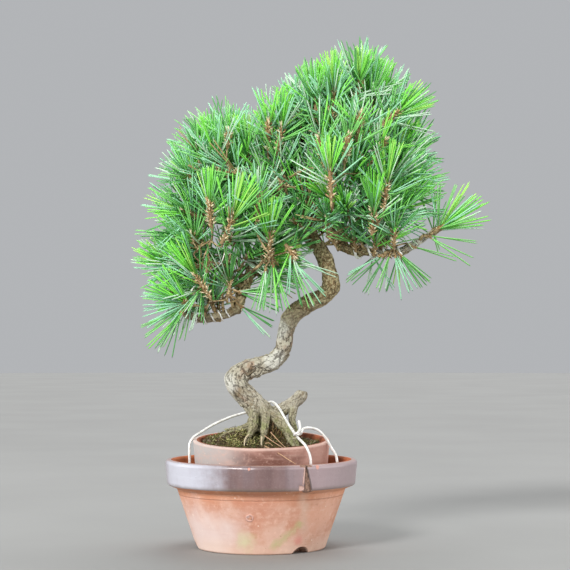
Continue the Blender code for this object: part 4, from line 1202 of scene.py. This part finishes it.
def fan(head, way, depth, pairs, opened, closed, lengths, mix, limit, flat=1.0):
    """Pairs of needles round the top of a stem, opened wide at the lowest and closing towards its tip."""
    side = unit(np.cross(way, draw.normal(0, 1, 3))[None])[0]
    other = np.cross(way, side)
    share = (np.arange(pairs) + 0.5) / pairs
    angle = np.arange(pairs) * GOLDEN + draw.normal(0, 0.25, pairs)
    opening = opened + (closed - opened) * share ** 0.85 + draw.normal(0, math.radians(6), pairs)
    radial = np.cos(angle)[:, None] * side + np.sin(angle)[:, None] * other
    start = head - way * (depth * (1.0 - share))[:, None] + radial * 0.001
    lean = unit((np.cos(opening)[:, None] * way + np.sin(opening)[:, None] * radial) * (1.0, flat, 1.0))
    length = draw.uniform(*lengths) * draw.uniform(0.9, 1.04, pairs)
    spread = draw.normal(0, 1, (pairs, 3)) * 0.06
    kinds = draw.choice(len(KINDS), pairs, p=mix)
    for sign in (1.0, -1.0):
        pair_ways = unit(lean + sign * spread)
        bend = (way * 0.02 + draw.normal(0, 0.013, (pairs, 3))) * length[:, None]
        needles.append(np.column_stack([
            start + pair_ways * 0.0015, pair_ways, bend, length * draw.uniform(0.92, 1.0, pairs),
            NEEDLE_HALF * draw.uniform(0.85, 1.12, pairs), kinds, np.full(pairs, limit)]))
    sheaths.append(np.column_stack([
        start - lean * 0.0005, lean, lean * 0.0, draw.uniform(0.005, 0.0068, pairs),
        np.full(pairs, 0.0009)]))


for head, way, stem, older, fresh, place in shoots:
    mix = INNER_SHADE_MIX if place == "inner" else SHOOT_MIXES[draw.integers(len(SHOOT_MIXES))]
    if isinstance(place, float):
        mix = NEW_MIX if fresh else mix
        fan(head, way, 0.003, older + fresh, place, NEW_ANGLES[1], OPEN_LENGTHS, mix, NO_LIMIT, PRESSED_FLAT)
        place = "open"
    else:
        limits = {
            "leading": draw.uniform(1.25, 1.6), "outer": draw.uniform(1.18, 1.5), "inner": 1.05, "bare": 1.0}
        limit = limits[place]
        if older:
            fan(head, way, stem * 0.6, older, *OLDER_ANGLES, NEEDLE_LENGTHS, mix, limit)
        if fresh:
            fan(head + way * 0.003, way, 0.004, fresh, *NEW_ANGLES, NEW_LENGTHS, NEW_MIX, limit)
    foot = head - way * stem
    thick = STEM_RADII[place]
    stems.append(np.array([(*(foot - way * 0.003), thick * 0.9), (*head, thick)]))
    count = int(stem * BRACTS_PER_METRE[place])
    along = draw.uniform(-0.1, 1.0, count)
    side = unit(np.cross(way, draw.normal(0, 1, (count, 3))))
    lean = unit(side * draw.uniform(0.5, 1.4, count)[:, None] + way)
    bracts.append(np.column_stack([
        foot + way * (stem * along)[:, None] + side * thick * 0.8, lean, side * thick * 0.5,
        draw.uniform(1.4, 2.8, count) * thick, draw.uniform(0.35, 0.6, count) * thick, draw.random(count)]))
    if place in ("bare", "open"):
        continue
    count = 8
    side = unit(np.cross(way, draw.normal(0, 1, (count, 3))))
    lean = unit(side * draw.uniform(0.05, 0.5, count)[:, None] + way)
    buds.append(np.column_stack([
        head + side * 0.0005, lean, side * 0.0, draw.uniform(0.004, 0.008, count),
        draw.uniform(0.0006, 0.001, count)]))

needles = np.vstack(needles)
limit = needles[:, 12]


def tip_reach():
    return within(needles[:, :3] + needles[:, 3:6] * needles[:, 9:10] + needles[:, 6:9])


needles[tip_reach() > limit, 9] *= SHORTENED
needles = needles[tip_reach() <= limit + 0.06]
foliage_nodes = list(masses)
for kind, (name, colour) in enumerate(KINDS.items()):
    rows = needles[needles[:, 11] == kind]
    finish = Finish(name + "_needles", Base_Color=srgb(*colour), Roughness=0.45)
    mesh = blades(name, rows[:, :3], rows[:, 3:6], rows[:, 6:9], rows[:, 9], rows[:, 10], NEEDLE_SHAPE)
    piece_of(mesh, name + "_needles", finish, "needles", *foliage_nodes[kind::len(KINDS)])
rows = np.vstack(sheaths)
finish = Finish("needle_sheaths", Base_Color=srgb(178, 140, 92), Roughness=0.7)
piece_of(blades("needle_sheaths", rows[:, :3], rows[:, 3:6], rows[:, 6:9], rows[:, 9], rows[:, 10],
                [(0.0, 1.0), (1.0, 0.0)]), "needle_sheaths", finish, "needles")
rows = np.vstack(bracts)
for name, colour, low, high in (
    ("tan_bracts", (206, 174, 124), 0.0, 0.35), ("brown_bracts", (140, 112, 76), 0.35, 0.55),
    ("straw_bracts", (238, 224, 186), 0.55, 1.01),
):
    part = rows[(rows[:, 11] >= low) & (rows[:, 11] < high)]
    finish = Finish(name, Base_Color=srgb(*colour), Roughness=0.75)
    piece_of(blades(name, part[:, :3], part[:, 3:6], part[:, 6:9], part[:, 9], part[:, 10],
                    [(0.0, 0.7), (0.45, 1.0), (1.0, 0.0)], thin=0.4), name, finish, "bark")
rows = np.vstack(buds)
finish = Finish("buds", Base_Color=srgb(236, 220, 184), Roughness=0.6)
piece_of(blades("buds", rows[:, :3], rows[:, 3:6], rows[:, 6:9], rows[:, 9], rows[:, 10],
                [(0.0, 0.8), (0.5, 1.0), (1.0, 0.0)]), "buds", finish, "bark")

wood_points = np.vstack([trunk_run[len(trunk_run) * 55 // 100:]] + bough_runs)
inner_runs = []
waiting = {at for at, node in enumerate(masses) if node != "foliage_right_under"}
while waiting:
    reach = {m: np.linalg.norm(wood_points[:, :3] - middles[m], axis=1) for m in waiting}
    nearest = min(waiting, key=lambda m: reach[m].min())
    waiting.remove(nearest)
    start = wood_points[reach[nearest].argmin()]
    end = middles[nearest] + 0.25 * (start[:3] - middles[nearest])
    span = np.linalg.norm(end - start[:3])
    first = min(0.003, start[3] * 0.75)
    knee = start[:3] + 0.5 * (end - start[:3]) + draw.normal(0, 0.1, 3) * span
    knee = knee + np.array([0, 0, -0.08 * span])
    run = smooth_run([(*start[:3], first), (*knee, first * 0.85), (*end, max(0.0014, first * 0.65))], 0.002)
    inner_runs.append(run)
    wood_points = np.vstack([wood_points, run[len(run) // 3:]])
twig_runs = []
for head, way, stem, *_ in shoots:
    foot = head - way * stem
    reach = np.linalg.norm(wood_points[:, :3] - (foot - way * 0.012), axis=1)
    start = wood_points[reach.argmin()]
    span = np.linalg.norm(foot - start[:3])
    knee = foot - way * min(0.35 * span, 0.014) + draw.normal(0, 0.04, 3) * span
    thick = min(0.0017, start[3] * 0.8)
    run = smooth_run([(*start[:3], thick), (*knee, thick * 0.9), (*foot, 0.0012)], 0.003)
    twig_runs.append(run)
    wood_points = np.vstack([wood_points, run[1:]])
twig_bark = Finish("twig_bark", Specular_IOR_Level=0.2)
patches = twig_bark.grain(220.0, 5.0, 0.65)
twig_bark.feed("Base Color", twig_bark.mix(patches.rise(0.38, 0.62), srgb(106, 86, 58), srgb(194, 172, 130)))
twig_bark.feed("Roughness", 0.75 + 0.2 * patches)
twig_bark.relief(patches, 0.0008)
piece_of(tubes("inner_boughs", inner_runs, 2), "inner_boughs", twig_bark, "bark")
piece_of(tubes("twigs", twig_runs, 1), "twigs", twig_bark, "bark")
shoot_bark = Finish("shoot_bark", Base_Color=srgb(150, 124, 86), Roughness=0.75)
piece_of(tubes("shoot_stems", stems, 1), "shoot_stems", shoot_bark, "bark")
